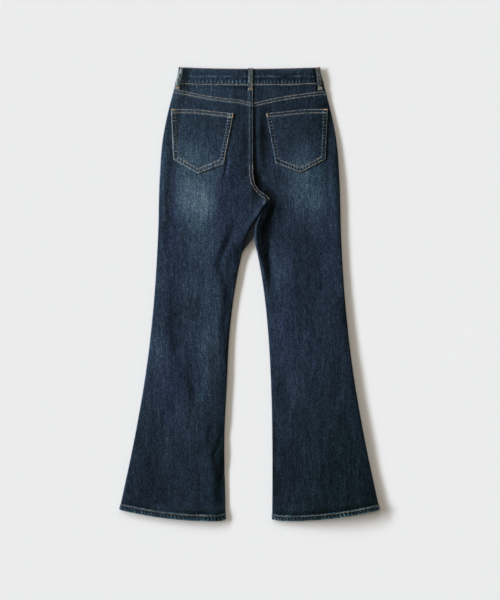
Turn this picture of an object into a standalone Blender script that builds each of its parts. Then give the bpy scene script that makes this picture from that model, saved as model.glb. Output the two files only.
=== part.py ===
"""Flared stretch-denim jeans lying flat on a surface, back side up.

Every cut piece is one closed wall of cloth. X runs across the garment with the wearer's left at -X,
Y runs up to the waist, and Z is up from the surface. The front pieces lie on the surface, the back
pieces lie on them, and both curl up to meet at the side seams and inseams.
"Drop" is the distance down from the corners of the waist. Sizes are in millimetres until MM is applied.
"""

import math
from collections import namedtuple

import bmesh
import bpy
import numpy as np
from mathutils import Vector

MM = 0.001

# Driving sizes
LENGTH = 1043.0          # waist corners to the lowest point of the hems
GAP = 0.3                # between pieces, at seams and where one lies on another
CLOTH = 1.2              # one layer of denim
HEM_CLOTH = 2.0          # denim where the hem is turned up
BAND_CLOTH = 2.2         # folded waistband
LOOP_CLOTH = 1.6         # folded belt loop
AIR = 3.3                # most air between front and back, along the rolled edges and folds
ROLL = 2.2               # radius of the rolled edges, at the middle of the cloth

WAIST_DIP = 4.0          # the back's top edge sags this much at the centre
WAIST_HALF_WIDTH = 158.0
BAND_HEIGHT = 41.0
BAND_HALF_WIDTH = 171.0  # at the seam below the waistband
FRONT_DIP = 12.0         # the front waistband hangs lower than the back one at the centre
FELL = 9.0               # the felled centre-back seam ends this far right of the centre line
FORK = 304.0             # drop of the fork, where the two inseams meet
FRONT_SEAM_BENDS = 180.0 # the centre-front seam starts to bend towards the fork
YOKE_SIDE = 57.0         # drop of the yoke seam at the side seams
YOKE_CENTER = 84.5       # and at the centre back
YOKE_CENTER_X = 3.5
YOKE_HALF_WIDTH = 181.0
YOKE_CURVE = 1.15        # 1 is a straight V
HEM_HEIGHT = 13.0
FRONT_HEM_HEIGHT = 11.0  # the front's turned-up cloth ends below the back's
HEM_LOW_X = 85.0         # distance from the centre line of each hem's lowest point
HEM_CORNER_X = 300.0
HEM_RISE = 26.5          # the outer corners of the hems are this much higher
STEP = 0.6               # length over which turned-up cloth gains its thickness

EDGE_HEIGHT = 2.9        # height of the side seams and inseams above the surface
BAND_EDGE_HEIGHT = 3.7

POCKET_CLOTH = 1.2
POCKET_HEM = 11.0        # height of the pocket's turned top hem
POCKET_HEM_EXTRA = 0.6   # cloth that the hem adds

LOOP_WIDTH = 11.5
LOOP_SLACK = 0.8         # how far the middle of a belt loop stands off the waistband

# Half width of the garment at the side seams
SIDE_SEAM = (
    # drop, half width
    (0, WAIST_HALF_WIDTH), (BAND_HEIGHT, BAND_HALF_WIDTH), (78, YOKE_HALF_WIDTH), (115, 190), (170, 200), (245, 206),
    (390, 210.5), (540, 220), (685, 236), (835, 261), (980, 291), (1043, 305),
)

# Seam down the seat, from the yoke to the fork
SEAT_SEAM = (
    # drop, x
    (0, FELL), (215, FELL), (235, 9.2), (252, 10.6), (265, 13.2), (276, 19), (286, 29.5),
    (295, 42), (FORK, 48),
)

LEFT_INSEAM = (
    # drop, x
    (FORK, 48), (321, 34), (338, 23), (353, 12), (394, -9), (428, -17.5), (483, -29),
    (557, -40.5), (630, -47.5), (722, -52), (833, -57.5), (1043, -55),
)
RIGHT_INSEAM = (
    # drop, x
    (FORK, 48), (321, 35), (347, 21.5), (364, 14.5), (386, 12), (409, 15), (465, 24.5),
    (538, 36), (612, 43), (722, 49.5), (851, 54), (1043, 53),
)

# The largest folds of the back, as ridges: both ends, half width, and height as a share of AIR
FOLDS = (
    # x0, drop0, x1, drop1, half width, share
    (72, 292, 52, 350, 15, 1.0),        # right thigh, beside the deep fold under the seat
    (52, 350, 46, 400, 14, 1.0),
    (46, 400, 58, 470, 15, 0.9),
    (58, 470, 70, 560, 20, 0.5),
    (-2, 342, -38, 398, 14, 0.7),       # left inner thigh
    (-38, 398, -62, 500, 18, 0.6),
    (-95, 780, -88, 930, 20, 0.5),      # left calf
    (150, 640, 190, 860, 24, 0.5),      # right calf
)

# Outline of the left back pocket, clockwise from its top outer corner; the right one mirrors it
POCKET = (
    # x, drop
    (-179, 95), (-108, 98.5), (-37.5, 105.6), (-59.5, 220), (-119, 241), (-174, 211),
)

# Belt loops
LOOP_TOP, LOOP_BOTTOM = 1.0, 52.0
SIDE_LOOP_INSET = (7.5, 10.5)     # centre line's distance along the cloth from the side seam, top and bottom
CENTER_LOOP_X = (2.8, 2.3)
LOOP_GAP = 0.4
LOOP_WRAP = 1.2                   # least distance along the cloth that a loop keeps from the side seam
LOOP_COLUMNS = 7
LOOP_ROWS = (
    # drop, slack, lies on the waistband
    (LOOP_TOP, 0.0, True), (7, 0.1 * LOOP_SLACK, True), (14, 0.6 * LOOP_SLACK, True),
    (25, LOOP_SLACK, True), (36, 0.7 * LOOP_SLACK, True), (43, 0.0, True),
    (47.5, 0.1, False), (LOOP_BOTTOM, 0.0, False),
)

# Rows of the leg panels, by their drop at the centre; those between LEVEL_FROM and LEVEL_TO lie level
LEVEL_FROM, LEVEL_TO = 165, 880
BACK_LEVELS = (
    100, 130, 168, 205, 238, 258, 271, 280, 288, 296, FORK, 313, 323, 336, 352, 372, 396, 428, 470,
    525, 590, 670, 750, 830, 910, 975,
    LENGTH - HEM_HEIGHT - STEP, LENGTH - HEM_HEIGHT, LENGTH,
)
FRONT_LEVELS = (
    110, 180, 240, 263, 276, 286, 295, FORK, 316, 330, 350, 380, 430, 500, 590, 690, 790, 890, 970,
    LENGTH - FRONT_HEM_HEIGHT - STEP, LENGTH - FRONT_HEM_HEIGHT, LENGTH,
)

SIDES = ((-1, "left"), (1, "right"))

DENIM = (0.030, 0.046, 0.075)
DENIM_LIGHT = (0.045, 0.066, 0.100)
LOOP_BLUE = (0.060, 0.080, 0.105)

# An edge of a piece: where it runs, how far it is rolled (0 sewn flat, 1 rolled), and how far
# the cloth takes to fall from the roll to the layer below
Edge = namedtuple("Edge", "x roll fall")

# A point in the middle of the cloth; roll is None away from the edges
Spot = namedtuple("Spot", "x drop z thickness roll")


def smooth(rows, drop):
    """Value of a two-column table at a drop, on a cubic through its rows."""
    keys = [row[0] for row in rows]
    values = [row[1] for row in rows]
    drop = min(max(drop, keys[0]), keys[-1])
    i = max(j for j in range(len(keys) - 1) if keys[j] <= drop)
    steps = [b - a for a, b in zip(keys, keys[1:])]
    rates = [(b - a) / s for a, b, s in zip(values, values[1:], steps)]

    def slope(j):
        if j == 0:
            return rates[0]
        if j == len(rates):
            return rates[-1]
        return (rates[j - 1] * steps[j] + rates[j] * steps[j - 1]) / (steps[j - 1] + steps[j])

    t = (drop - keys[i]) / steps[i]
    return ((2 * t**3 - 3 * t**2 + 1) * values[i] + (3 * t**2 - 2 * t**3) * values[i + 1]
            + steps[i] * ((t**3 - 2 * t**2 + t) * slope(i) + (t**3 - t**2) * slope(i + 1)))


def between(value, low, high):
    """Share of the way from low to high, kept within 0 and 1."""
    return min(max((value - low) / (high - low), 0.0), 1.0)


def ramp(value, low, high):
    """0 below low, 1 above high, eased between them."""
    t = between(value, low, high)
    return t * t * (3 - 2 * t)


def mix(a, b, share):
    return a + (b - a) * share


# Seam lines across the garment, each a drop for an x

def waist_top(x):
    return WAIST_DIP * (1 - (x / WAIST_HALF_WIDTH)**2)


def band_seam(x):
    return BAND_HEIGHT


def yoke_seam(x):
    share = abs(x - YOKE_CENTER_X) / YOKE_HALF_WIDTH
    return mix(YOKE_CENTER, YOKE_SIDE, share**YOKE_CURVE)


def front_dip(x):
    return FRONT_DIP * max(0.0, 1 - (x / BAND_HALF_WIDTH)**2)


def front_seam(x):
    return BAND_HEIGHT + front_dip(x)


def hem(x):
    return LENGTH - HEM_RISE * ((abs(x) - HEM_LOW_X) / (HEM_CORNER_X - HEM_LOW_X))**2


# Sides of the pieces

def side_seam(side):
    return Edge(lambda drop: side * smooth(SIDE_SEAM, drop), lambda drop: 1.0, 38.0)


def inner_seam(side, front):
    """Centre seam down to the fork, then the inseam of that leg."""
    inseam = RIGHT_INSEAM if side > 0 else LEFT_INSEAM

    def x(drop):
        if drop > FORK:
            return smooth(inseam, drop)
        centre = smooth(SEAT_SEAM, drop)
        if front:
            centre -= FELL * (1 - ramp(drop, FRONT_SEAM_BENDS, FORK))
        return centre

    return Edge(x, lambda drop: ramp(drop, FORK, FORK + 28), 15.0 if side > 0 else 24.0)


# Heights of the layers

def fold_share(x, drop):
    """Height of the large folds, as a share of AIR."""
    total = 0.0
    for x0, drop0, x1, drop1, width, share in FOLDS:
        along, across = x1 - x0, drop1 - drop0
        t = ((x - x0) * along + (drop - drop0) * across) / (along**2 + across**2)
        t = min(max(t, 0.0), 1.0)
        distance = math.hypot(x - x0 - t * along, drop - drop0 - t * across)
        total = max(total, share * math.exp(-(distance / width)**2))
    return total


def leg_thickness(hem_height):
    """Thickness of a leg panel: one layer, more where the hem is turned up."""
    def thickness(drop, x):
        top = hem(x) - hem_height
        return mix(CLOTH, HEM_CLOTH, between(drop, top - STEP, top))

    return thickness


def under_back(drop):
    """Top of the front layer that the back panels and yokes lie on."""
    return mix(BAND_CLOTH, CLOTH, ramp(drop, BAND_HEIGHT + FRONT_DIP + 6, YOKE_CENTER + 4))


def heights(layer, thickness, drop):
    """Middle of the cloth where it lies flat, where it is fullest, and where its seam is."""
    if layer == "front band":
        return thickness / 2, thickness / 2, BAND_EDGE_HEIGHT
    if layer == "front":
        return thickness / 2, thickness / 2, EDGE_HEIGHT
    full = thickness + AIR + thickness / 2
    if layer == "back band":
        return thickness + GAP + thickness / 2, full, BAND_EDGE_HEIGHT
    return max(under_back(drop), thickness) + GAP + thickness / 2, full, EDGE_HEIGHT


def seam_height(layer, thickness, drop, roll):
    """Middle of the cloth at a seam that is rolled by the given share."""
    upper = layer.startswith("back")
    other_layer = layer.replace("back", "front") if upper else layer.replace("front", "back")
    flat, _, seam = heights(layer, thickness, drop)
    other_flat = heights(other_layer, thickness, drop)[0]
    apart = GAP + (abs(flat - other_flat) - GAP) * math.cos(roll * math.pi / 2)
    centre = mix((flat + other_flat) / 2, seam, roll)
    return centre + apart / 2 if upper else centre - apart / 2


def round_the_roll(along):
    """Distance in from the seam, and share of the rise, this far along a rolled edge's cloth."""
    turn = min(along / ROLL, math.pi / 2)
    return ROLL * (1 - math.cos(turn)) + max(0.0, along - ROLL * math.pi / 2), math.sin(turn)


def edge_share(away, fall):
    """How full the cloth is at a distance in from the seam, as a share of AIR."""
    return 1 - ramp(away - ROLL, 0, fall)


def cloth_height(layer, thickness, drop, x, starts):
    """Middle of the cloth, from its two edges' fullness and the large folds."""
    flat, full, _ = heights(layer, thickness, drop)
    share = fold_share(x, drop) if layer == "back" else 0.0
    for start, inwards, edge in starts:
        share = max(share, edge.roll(drop) * edge_share(inwards * (x - start), edge.fall))
    return mix(flat, full, share)


def cloth_spot(layer, edges, station, drop, thickness):
    """Point in the middle of the cloth where a column crosses the row at this drop."""
    starts = []
    for edge, inwards in zip(edges, (1, -1)):
        inset = mix(GAP / 2, thickness / 2, edge.roll(drop))
        starts.append((edge.x(drop) + inwards * inset, inwards, edge))
    kind, value = station
    if kind == "across":
        x = mix(starts[0][0] + STEPS_END, starts[1][0] - STEPS_END, value)
        return Spot(x, drop, cloth_height(layer, thickness, drop, x, starts), thickness, None)
    start, inwards, edge = starts[0 if kind == "left" else 1]
    inset, rise = round_the_roll(value)
    x = start + inwards * inset
    roll = edge.roll(drop)
    seam = seam_height(layer, thickness, drop, roll)
    z = mix(seam, cloth_height(layer, thickness, drop, x, starts), rise)
    return Spot(x, drop, z, thickness, roll)


# Distances along the cloth from an edge at which a piece has columns
ROLL_STEPS = tuple(ROLL * math.pi / 2 * k / 3 for k in range(4))
STEPS_END = 48.0
OUTER_STEPS = ROLL_STEPS + (9, 18, 30, STEPS_END)
INNER_STEPS = ROLL_STEPS + (8, 14, 21, 29, 38, STEPS_END)
FRONT_STEPS = ROLL_STEPS + (24, STEPS_END)


def stations(left_steps, across, right_steps):
    """Columns of a piece from its left edge to its right edge."""
    columns = [("left", step) for step in left_steps]
    columns += [("across", (k + 1) / (across + 1)) for k in range(across)]
    return columns + [("right", step) for step in reversed(right_steps)]


def cloth_grid(layer, edges, columns, rows, thickness):
    """Spots where the columns cross the rows; a row's drop depends on x, so it is closed in on."""
    def spot(station, row):
        drop = x = 0.0
        for _ in range(6):
            drop = row(x)
            x = cloth_spot(layer, edges, station, drop, thickness(drop, x)).x
        return cloth_spot(layer, edges, station, drop, thickness(drop, x))

    return [[spot(station, row) for station in columns] for row in rows]


def facing(grid, upper):
    """The grid's points, and unit vectors out of the garment that stay upright down its length."""
    up = 1 if upper else -1
    points = np.array([[(s.x, LENGTH / 2 - s.drop, s.z) for s in line] for line in grid])
    along_row = np.gradient(points, axis=1)
    down = np.gradient(points, axis=0)
    down[..., 2] = 0.0
    out = np.cross(along_row, down) * -up
    out /= np.linalg.norm(out, axis=2, keepdims=True)
    for i, line in enumerate(grid):
        for j, outwards in ((0, -1), (len(line) - 1, 1)):
            side = np.cross((0, 0, outwards), down[i, j])
            turn = line[j].roll * math.pi / 2
            out[i, j] = math.sin(turn) * side / np.linalg.norm(side)
            out[i, j, 2] += up * math.cos(turn)
    return points, out


def strip_faces(rows, columns):
    """Triangles of a grid, as index triples."""
    faces = []
    for i in range(rows - 1):
        for j in range(columns - 1):
            a, b = i * columns + j, i * columns + j + 1
            c, d = b + columns, a + columns
            faces += [(a, b, c), (a, c, d)]
    return faces


def rim_loop(rows, columns):
    """Indices round the border of a grid."""
    top = list(range(columns))
    right = [i * columns + columns - 1 for i in range(1, rows)]
    bottom = [(rows - 1) * columns + j for j in range(columns - 2, -1, -1)]
    left = [i * columns for i in range(rows - 2, 0, -1)]
    return top + right + bottom + left


def material(name, colour):
    """Rough cloth finish."""
    mat = bpy.data.materials.new(name)
    mat.use_nodes = True
    shader = mat.node_tree.nodes["Principled BSDF"]
    shader.inputs["Base Color"].default_value = (*colour, 1.0)
    shader.inputs["Roughness"].default_value = 0.9
    shader.inputs["Metallic"].default_value = 0.0
    mat.diffuse_color = (*colour, 1.0)
    return mat


def add_object(name, bm, mat):
    """Object from a bmesh in millimetres, with its faces pointing out."""
    bmesh.ops.recalc_face_normals(bm, faces=bm.faces)
    bmesh.ops.scale(bm, vec=(MM, MM, MM), verts=bm.verts)
    mesh = bpy.data.meshes.new(name)
    bm.to_mesh(mesh)
    bm.free()
    mesh.materials.append(mat)
    obj = bpy.data.objects.new(name, mesh)
    bpy.context.collection.objects.link(obj)
    return obj


def wall(name, points, out, thickness, mat):
    """Closed wall of cloth round a grid of middle points; returns its outer points."""
    rows, columns = points.shape[:2]
    half = thickness[..., None] / 2
    outer = (points + out * half).reshape(-1, 3)
    inner = (points - out * half).reshape(-1, 3)
    bm = bmesh.new()
    outer_verts = [bm.verts.new(p) for p in outer]
    inner_verts = [bm.verts.new(p) for p in inner]
    for a, b, c in strip_faces(rows, columns):
        bm.faces.new((outer_verts[a], outer_verts[b], outer_verts[c]))
        bm.faces.new((inner_verts[c], inner_verts[b], inner_verts[a]))
    rim = rim_loop(rows, columns)
    for a, b in zip(rim, rim[1:] + rim[:1]):
        bm.faces.new((outer_verts[b], outer_verts[a], inner_verts[a], inner_verts[b]))
    add_object(name, bm, mat)
    return outer.reshape(rows, columns, 3)


def cloth_piece(name, layer, edges, columns, rows, thickness, mat):
    """One cut piece, from its layer, its two edges and the seam lines that its rows follow."""
    grid = cloth_grid(layer, edges, columns, rows, thickness)
    points, out = facing(grid, layer.startswith("back"))
    return wall(name, points, out, np.array([[s.thickness for s in line] for line in grid]), mat)


def leg_rows(top, top_drop, levels):
    """Rows down a leg: they follow the top seam first, then lie level, then follow the hem."""
    def row(level):
        near_top = 1 - between(level, top_drop, LEVEL_FROM)
        near_hem = between(level, LEVEL_TO, LENGTH - HEM_HEIGHT - STEP)
        return lambda x: level + near_top * (top(x) - top_drop) + near_hem * (hem(x) - LENGTH)

    return [row(level) for level in levels]


def seam_row(seam, offset=0.0):
    return lambda x: seam(x) + offset


def middle_row(seam, other):
    return lambda x: (seam(x) + other(x)) / 2


def half_piece(side, front, outer_steps, inner_steps, across):
    """Edges and columns of a piece between a side seam and the centre seam, from left to right."""
    edges = (side_seam(side), inner_seam(side, front))
    steps = (outer_steps, inner_steps)
    if side > 0:
        edges, steps = edges[::-1], steps[::-1]
    return edges, stations(steps[0], across, steps[1])


def make_front_panels(mat):
    for side, name in SIDES:
        edges, columns = half_piece(side, True, FRONT_STEPS, FRONT_STEPS, 3)
        rows = [seam_row(front_seam, GAP / 2)]
        rows += leg_rows(front_seam, BAND_HEIGHT + FRONT_DIP, FRONT_LEVELS)
        cloth_piece("front_panel_" + name, "front", edges, columns, rows,
                    leg_thickness(FRONT_HEM_HEIGHT), mat)


def make_back_panels(mat):
    """Both back panels; returns the outer points of each, for the pocket that lies on it."""
    outer = {}
    for side, name in SIDES:
        edges, columns = half_piece(side, False, OUTER_STEPS, INNER_STEPS, 3)
        rows = [seam_row(yoke_seam, GAP / 2)] + leg_rows(yoke_seam, YOKE_CENTER, BACK_LEVELS)
        outer[side] = cloth_piece("back_panel_" + name, "back", edges, columns, rows,
                                  leg_thickness(HEM_HEIGHT), mat)
    return outer


def make_yokes(mat):
    for side, name in SIDES:
        edges, columns = half_piece(side, False, OUTER_STEPS, INNER_STEPS, 3)
        rows = [seam_row(band_seam, GAP / 2), middle_row(band_seam, yoke_seam),
                seam_row(yoke_seam, -GAP / 2)]
        cloth_piece("back_yoke_" + name, "back", edges, columns, rows, lambda drop, x: CLOTH, mat)


def make_waistbands(mat):
    edges = (side_seam(-1), side_seam(1))
    for layer, name, top, bottom, columns in (
        ("back band", "waistband_back", waist_top, band_seam, stations(OUTER_STEPS, 7, OUTER_STEPS)),
        ("front band", "waistband_front", front_dip, front_seam, stations(FRONT_STEPS, 9, FRONT_STEPS)),
    ):
        rows = [seam_row(top), middle_row(top, bottom), seam_row(bottom, -GAP / 2)]
        cloth_piece(name, layer, edges, columns, rows, lambda drop, x: BAND_CLOTH, mat)


def cut_along(bm, point, normal, clear=False):
    """Cut through a flat-lying mesh, and clear what lies past the cut if asked."""
    bmesh.ops.bisect_plane(bm, geom=bm.verts[:] + bm.edges[:] + bm.faces[:], dist=1e-5,
                           plane_co=point, plane_no=normal, clear_outer=clear)


def make_pocket(name, side, outer, mat):
    """Patch pocket cut from the back panel's own outer faces, moved out and thickened."""
    bm = bmesh.new()
    verts = [bm.verts.new(p) for p in outer.reshape(-1, 3)]
    for face in strip_faces(*outer.shape[:2]):
        bm.faces.new([verts[i] for i in face])
    corners = [Vector((-side * x, LENGTH / 2 - drop, 0)) for x, drop in POCKET]
    outwards = []
    for a, b in zip(corners, corners[1:] + corners[:1]):
        outwards.append((b - a).cross(Vector((0, 0, side))).normalized())
        cut_along(bm, a, outwards[-1], clear=True)
    hem_sides = list(zip(corners, outwards))[:2]
    for corner, outward in hem_sides:
        for depth in (POCKET_HEM, POCKET_HEM + STEP):
            cut_along(bm, corner - outward * depth, outward)
    bmesh.ops.delete(bm, geom=[v for v in bm.verts if not v.link_faces], context="VERTS")
    bmesh.ops.translate(bm, vec=(0, 0, GAP), verts=bm.verts)
    copied = bmesh.ops.extrude_face_region(bm, geom=bm.faces[:])["geom"]
    for vert in (part for part in copied if isinstance(part, bmesh.types.BMVert)):
        depth = min((corner - vert.co).dot(outward) for corner, outward in hem_sides)
        hem_share = 1 - between(depth, POCKET_HEM, POCKET_HEM + STEP)
        vert.co.z += POCKET_CLOTH + POCKET_HEM_EXTRA * hem_share
    add_object(name, bm, mat)


def loop_wall(name, lines, mat):
    """Belt loop from rows of points on the cloth below, with the way each faces and its slack."""
    points = np.array([[point + face * (LOOP_GAP + LOOP_CLOTH / 2 + slack) for point, face in line]
                       for slack, line in lines])
    out = np.array([[face for _, face in line] for _, line in lines])
    wall(name, points, out, np.full(points.shape[:2], LOOP_CLOTH), mat)


def below_loop(on_band):
    """Layer and thickness of the cloth under a row of a belt loop."""
    return ("back band", BAND_CLOTH) if on_band else ("back", CLOTH)


def make_side_loop(name, side, mat):
    """Belt loop over the waistband's rolled edge, tacked down on the yoke."""
    edge = side_seam(side)
    lines = []
    for drop, slack, on_band in LOOP_ROWS:
        layer, thickness = below_loop(on_band)
        flat, full, seam = heights(layer, thickness, drop)
        middle = mix(*SIDE_LOOP_INSET, between(drop, LOOP_TOP, LOOP_BOTTOM))
        line = []
        for k in range(LOOP_COLUMNS):
            along = max(LOOP_WRAP, middle + LOOP_WIDTH * (k / (LOOP_COLUMNS - 1) - 0.5))
            inset, rise = round_the_roll(along)
            z = mix(seam + GAP / 2, mix(flat, full, edge_share(inset, edge.fall)), rise)
            turn = math.asin(rise)
            face = Vector((side * math.cos(turn), 0, rise))
            point = Vector((edge.x(drop) - side * (thickness / 2 + inset), LENGTH / 2 - drop, z))
            line.append((point + face * thickness / 2, face))
        lines.append((slack, line))
    loop_wall(name, lines, mat)


def make_center_loop(name, mat):
    """Belt loop on the flat of the waistband at the centre back."""
    lines = []
    for drop, slack, on_band in LOOP_ROWS:
        layer, thickness = below_loop(on_band)
        share = between(drop, LOOP_TOP, LOOP_BOTTOM)
        x = mix(*CENTER_LOOP_X, share)
        y = LENGTH / 2 - drop - WAIST_DIP * (1 - share)
        z = heights(layer, thickness, drop)[0] + thickness / 2
        lines.append((slack, [(Vector((x + LOOP_WIDTH * across, y, z)), Vector((0, 0, 1)))
                              for across in (-0.5, 0, 0.5)]))
    loop_wall(name, lines, mat)


def main():
    for obj in list(bpy.data.objects):
        bpy.data.objects.remove(obj, do_unlink=True)
    denim = material("denim", DENIM)
    pocket_denim = material("pocket_denim", DENIM_LIGHT)
    loop_denim = material("loop_denim", LOOP_BLUE)
    make_front_panels(denim)
    outer = make_back_panels(denim)
    make_yokes(denim)
    make_waistbands(denim)
    for side, name in SIDES:
        make_pocket("back_pocket_" + name, side, outer[side], pocket_denim)
        make_side_loop("belt_loop_" + name, side, loop_denim)
    make_center_loop("belt_loop_center", loop_denim)


main()
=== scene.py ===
# Flared stretch jeans lying flat, back side up, on a pale studio floor.
# Lengths are in millimetres until a mesh is made. A "drop" is the distance down from the waist's corners,
# and the "left" side of the garment is at negative X.
import math

import bpy
import numpy as np
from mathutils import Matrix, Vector
from mathutils.bvhtree import BVHTree


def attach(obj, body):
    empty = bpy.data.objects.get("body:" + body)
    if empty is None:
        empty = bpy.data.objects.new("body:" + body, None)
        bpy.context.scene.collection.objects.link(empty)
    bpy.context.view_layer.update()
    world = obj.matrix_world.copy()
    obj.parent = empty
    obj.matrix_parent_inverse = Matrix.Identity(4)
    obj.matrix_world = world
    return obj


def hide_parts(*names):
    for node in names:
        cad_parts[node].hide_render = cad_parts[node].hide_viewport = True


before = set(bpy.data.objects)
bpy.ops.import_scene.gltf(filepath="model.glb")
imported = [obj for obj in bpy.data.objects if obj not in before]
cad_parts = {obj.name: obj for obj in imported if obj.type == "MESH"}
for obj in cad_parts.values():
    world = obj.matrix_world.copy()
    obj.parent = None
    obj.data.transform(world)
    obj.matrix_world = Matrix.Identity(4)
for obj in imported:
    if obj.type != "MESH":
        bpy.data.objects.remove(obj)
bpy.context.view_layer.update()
bpy.ops.object.select_all(action="DESELECT")
mm = 0.001
print("frame loaded with", len(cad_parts), "solids")


stage = {
    "pictureHeight": 1.38,               # metres of floor that the picture takes in, top to bottom
    "pictureCentre": (0.00115, -0.0132),
    "lens": 150.0,
    "farthest": 200.0,                   # metres that the camera sees
    "floorSize": 80.0,
    "floorHeight": -0.0002,
    "floorTone": 0.80,
    "floorMottle": 0.005,                # share by which the floor's tone varies
    "wallTone": (0.76, 0.76, 0.76),      # studio walls, low down all round
    "ceilingTone": (0.295, 0.256, 0.197),
    "wallTop": 0.12,                     # sine of the height at which the walls have faded out
}

keyColour = (0.864, 0.919, 1.0)
suns = [
    # name, comes from (degrees round from +X), height (degrees), strength, softness (degrees), colour
    ("keyA", 184.0, 15.0, 1.95, 8.0, keyColour),
    ("keyB", 174.0, 15.0, 2.2, 8.0, keyColour),
    ("keyC", 163.0, 15.0, 2.1, 8.0, keyColour),
    ("keyD", 151.0, 15.0, 1.55, 8.0, keyColour),
    ("keyE", 138.0, 15.0, 1.2, 8.0, keyColour),
    ("topLight", 98.0, 24.0, 0.9, 30.0, (0.95, 0.97, 1.0)),
]


def addCamera():
    bpy.ops.object.camera_add()
    camera = bpy.context.object
    camera.name = "camera"
    camera.data.lens = stage["lens"]
    halfSensor = camera.data.sensor_width / 2
    distance = stage["pictureHeight"] / 2 * stage["lens"] / halfSensor
    camera.location = (*stage["pictureCentre"], distance)
    camera.rotation_euler = (0, 0, 0)
    camera.data.clip_end = stage["farthest"]
    bpy.context.scene.camera = camera


def addSun(name, comesFrom, height, strength, softness, colour):
    bpy.ops.object.light_add(type="SUN")
    sun = bpy.context.object
    sun.name = name
    sun.data.energy = strength
    sun.data.angle = math.radians(softness)
    sun.data.color = colour
    around, up = math.radians(comesFrom), math.radians(height)
    direction = Vector((math.cos(up) * math.cos(around), math.cos(up) * math.sin(around), math.sin(up)))
    sun.rotation_euler = direction.to_track_quat("Z", "Y").to_euler()


def addNode(tree, kind, inputs=None, **options):
    made = tree.nodes.new(kind)
    for key, value in options.items():
        setattr(made, key, value)
    for key, value in (inputs or {}).items():
        if isinstance(value, bpy.types.NodeSocket):
            tree.links.new(value, made.inputs[key])
        else:
            made.inputs[key].default_value = value
    return made


def addWorld():
    world = bpy.data.worlds.new("studio")
    bpy.context.scene.world = world
    world.use_nodes = True
    tree = world.node_tree
    background = tree.nodes["Background"]
    direction = addNode(tree, "ShaderNodeTexCoord")
    parts = addNode(tree, "ShaderNodeSeparateXYZ", {"Vector": direction.outputs["Generated"]})
    height = addNode(tree, "ShaderNodeMapRange", {"Value": parts.outputs["Z"],
                     "From Max": stage["wallTop"]}, interpolation_type="SMOOTHSTEP")
    tone = addNode(tree, "ShaderNodeMix", {"Factor": height.outputs["Result"]}, data_type="RGBA")
    tone.inputs["A"].default_value = (*stage["wallTone"], 1)
    tone.inputs["B"].default_value = (*stage["ceilingTone"], 1)
    tree.links.new(tone.outputs["Result"], background.inputs["Color"])


def newMaterial(name, roughness, specular):
    material = bpy.data.materials.new(name)
    material.use_nodes = True
    tree = material.node_tree
    shader = tree.nodes["Principled BSDF"]
    shader.inputs["Roughness"].default_value = roughness
    shader.inputs["Specular IOR Level"].default_value = specular
    coords = addNode(tree, "ShaderNodeTexCoord").outputs["Object"]
    return material, tree, shader, coords


def addFloor():
    bpy.ops.mesh.primitive_plane_add(size=stage["floorSize"], location=(0, 0, stage["floorHeight"]))
    floor = bpy.context.object
    floor.name = "floor"
    paint, tree, shader, coords = newMaterial("paleFloor", roughness=0.95, specular=0.0)
    mottle = addNode(tree, "ShaderNodeTexNoise", {"Vector": coords, "Scale": 3.0})
    tone = addNode(tree, "ShaderNodeMapRange", {"Value": mottle.outputs["Fac"],
                   "To Min": stage["floorTone"] * (1 - stage["floorMottle"]),
                   "To Max": stage["floorTone"] * (1 + stage["floorMottle"])})
    tree.links.new(tone.outputs["Result"], shader.inputs["Base Color"])
    floor.data.materials.append(paint)


addCamera()
for sun in suns:
    addSun(*sun)
addWorld()
addFloor()
bpy.context.scene.view_settings.view_transform = "Standard"
print("stage ready")


def stretchedNoise(tree, coords, size, detail=2.0, roughness=0.55):
    # noise whose features are about size (x, y) millimetres, the same at every height
    scaled = addNode(tree, "ShaderNodeMapping", {"Vector": coords, "Location": (0, 0, 0.43)})
    scaled.inputs["Scale"].default_value = (1 / (size[0] * mm), 1 / (size[1] * mm), 0)
    noise = addNode(tree, "ShaderNodeTexNoise", {"Vector": scaled.outputs["Vector"], "Scale": 1.0,
                    "Detail": detail, "Roughness": roughness})
    return noise.outputs["Fac"]


def calculate(tree, operation, a, b=0.0, c=0.0):
    return addNode(tree, "ShaderNodeMath", {0: a, 1: b, 2: c}, operation=operation).outputs[0]


def colourScale(tree, value, stops):
    # colour for a value between 0 and 1, from stops of (place, colour)
    scale = addNode(tree, "ShaderNodeValToRGB", {"Fac": value})
    elements = scale.color_ramp.elements
    stops = list(stops)
    while len(elements) < len(stops):
        elements.new(0.5)
    for element, (place, colour) in zip(elements, stops):
        element.position = place
        element.color = (*colour, 1)
    return scale.outputs["Color"]


def addRelief(tree, shader, height, strength, depth):
    bump = addNode(tree, "ShaderNodeBump", {"Height": height, "Strength": strength, "Distance": depth * mm})
    tree.links.new(bump.outputs["Normal"], shader.inputs["Normal"])


denimTones = [
    # tone, linear colour; each step of the scale is about the same step in brightness
    (-0.15, (0.0009, 0.0019, 0.0025)),
    (0.00, (0.0032, 0.0078, 0.0105)),
    (0.20, (0.0092, 0.0163, 0.0272)),
    (0.30, (0.0141, 0.0234, 0.0414)),
    (0.45, (0.0230, 0.0393, 0.0648)),
    (0.60, (0.0367, 0.0650, 0.0955)),
    (0.75, (0.0667, 0.1057, 0.1448)),
    (1.00, (0.1690, 0.2350, 0.2830)),
]
toneRange = (denimTones[0][0], denimTones[-1][0])

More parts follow.
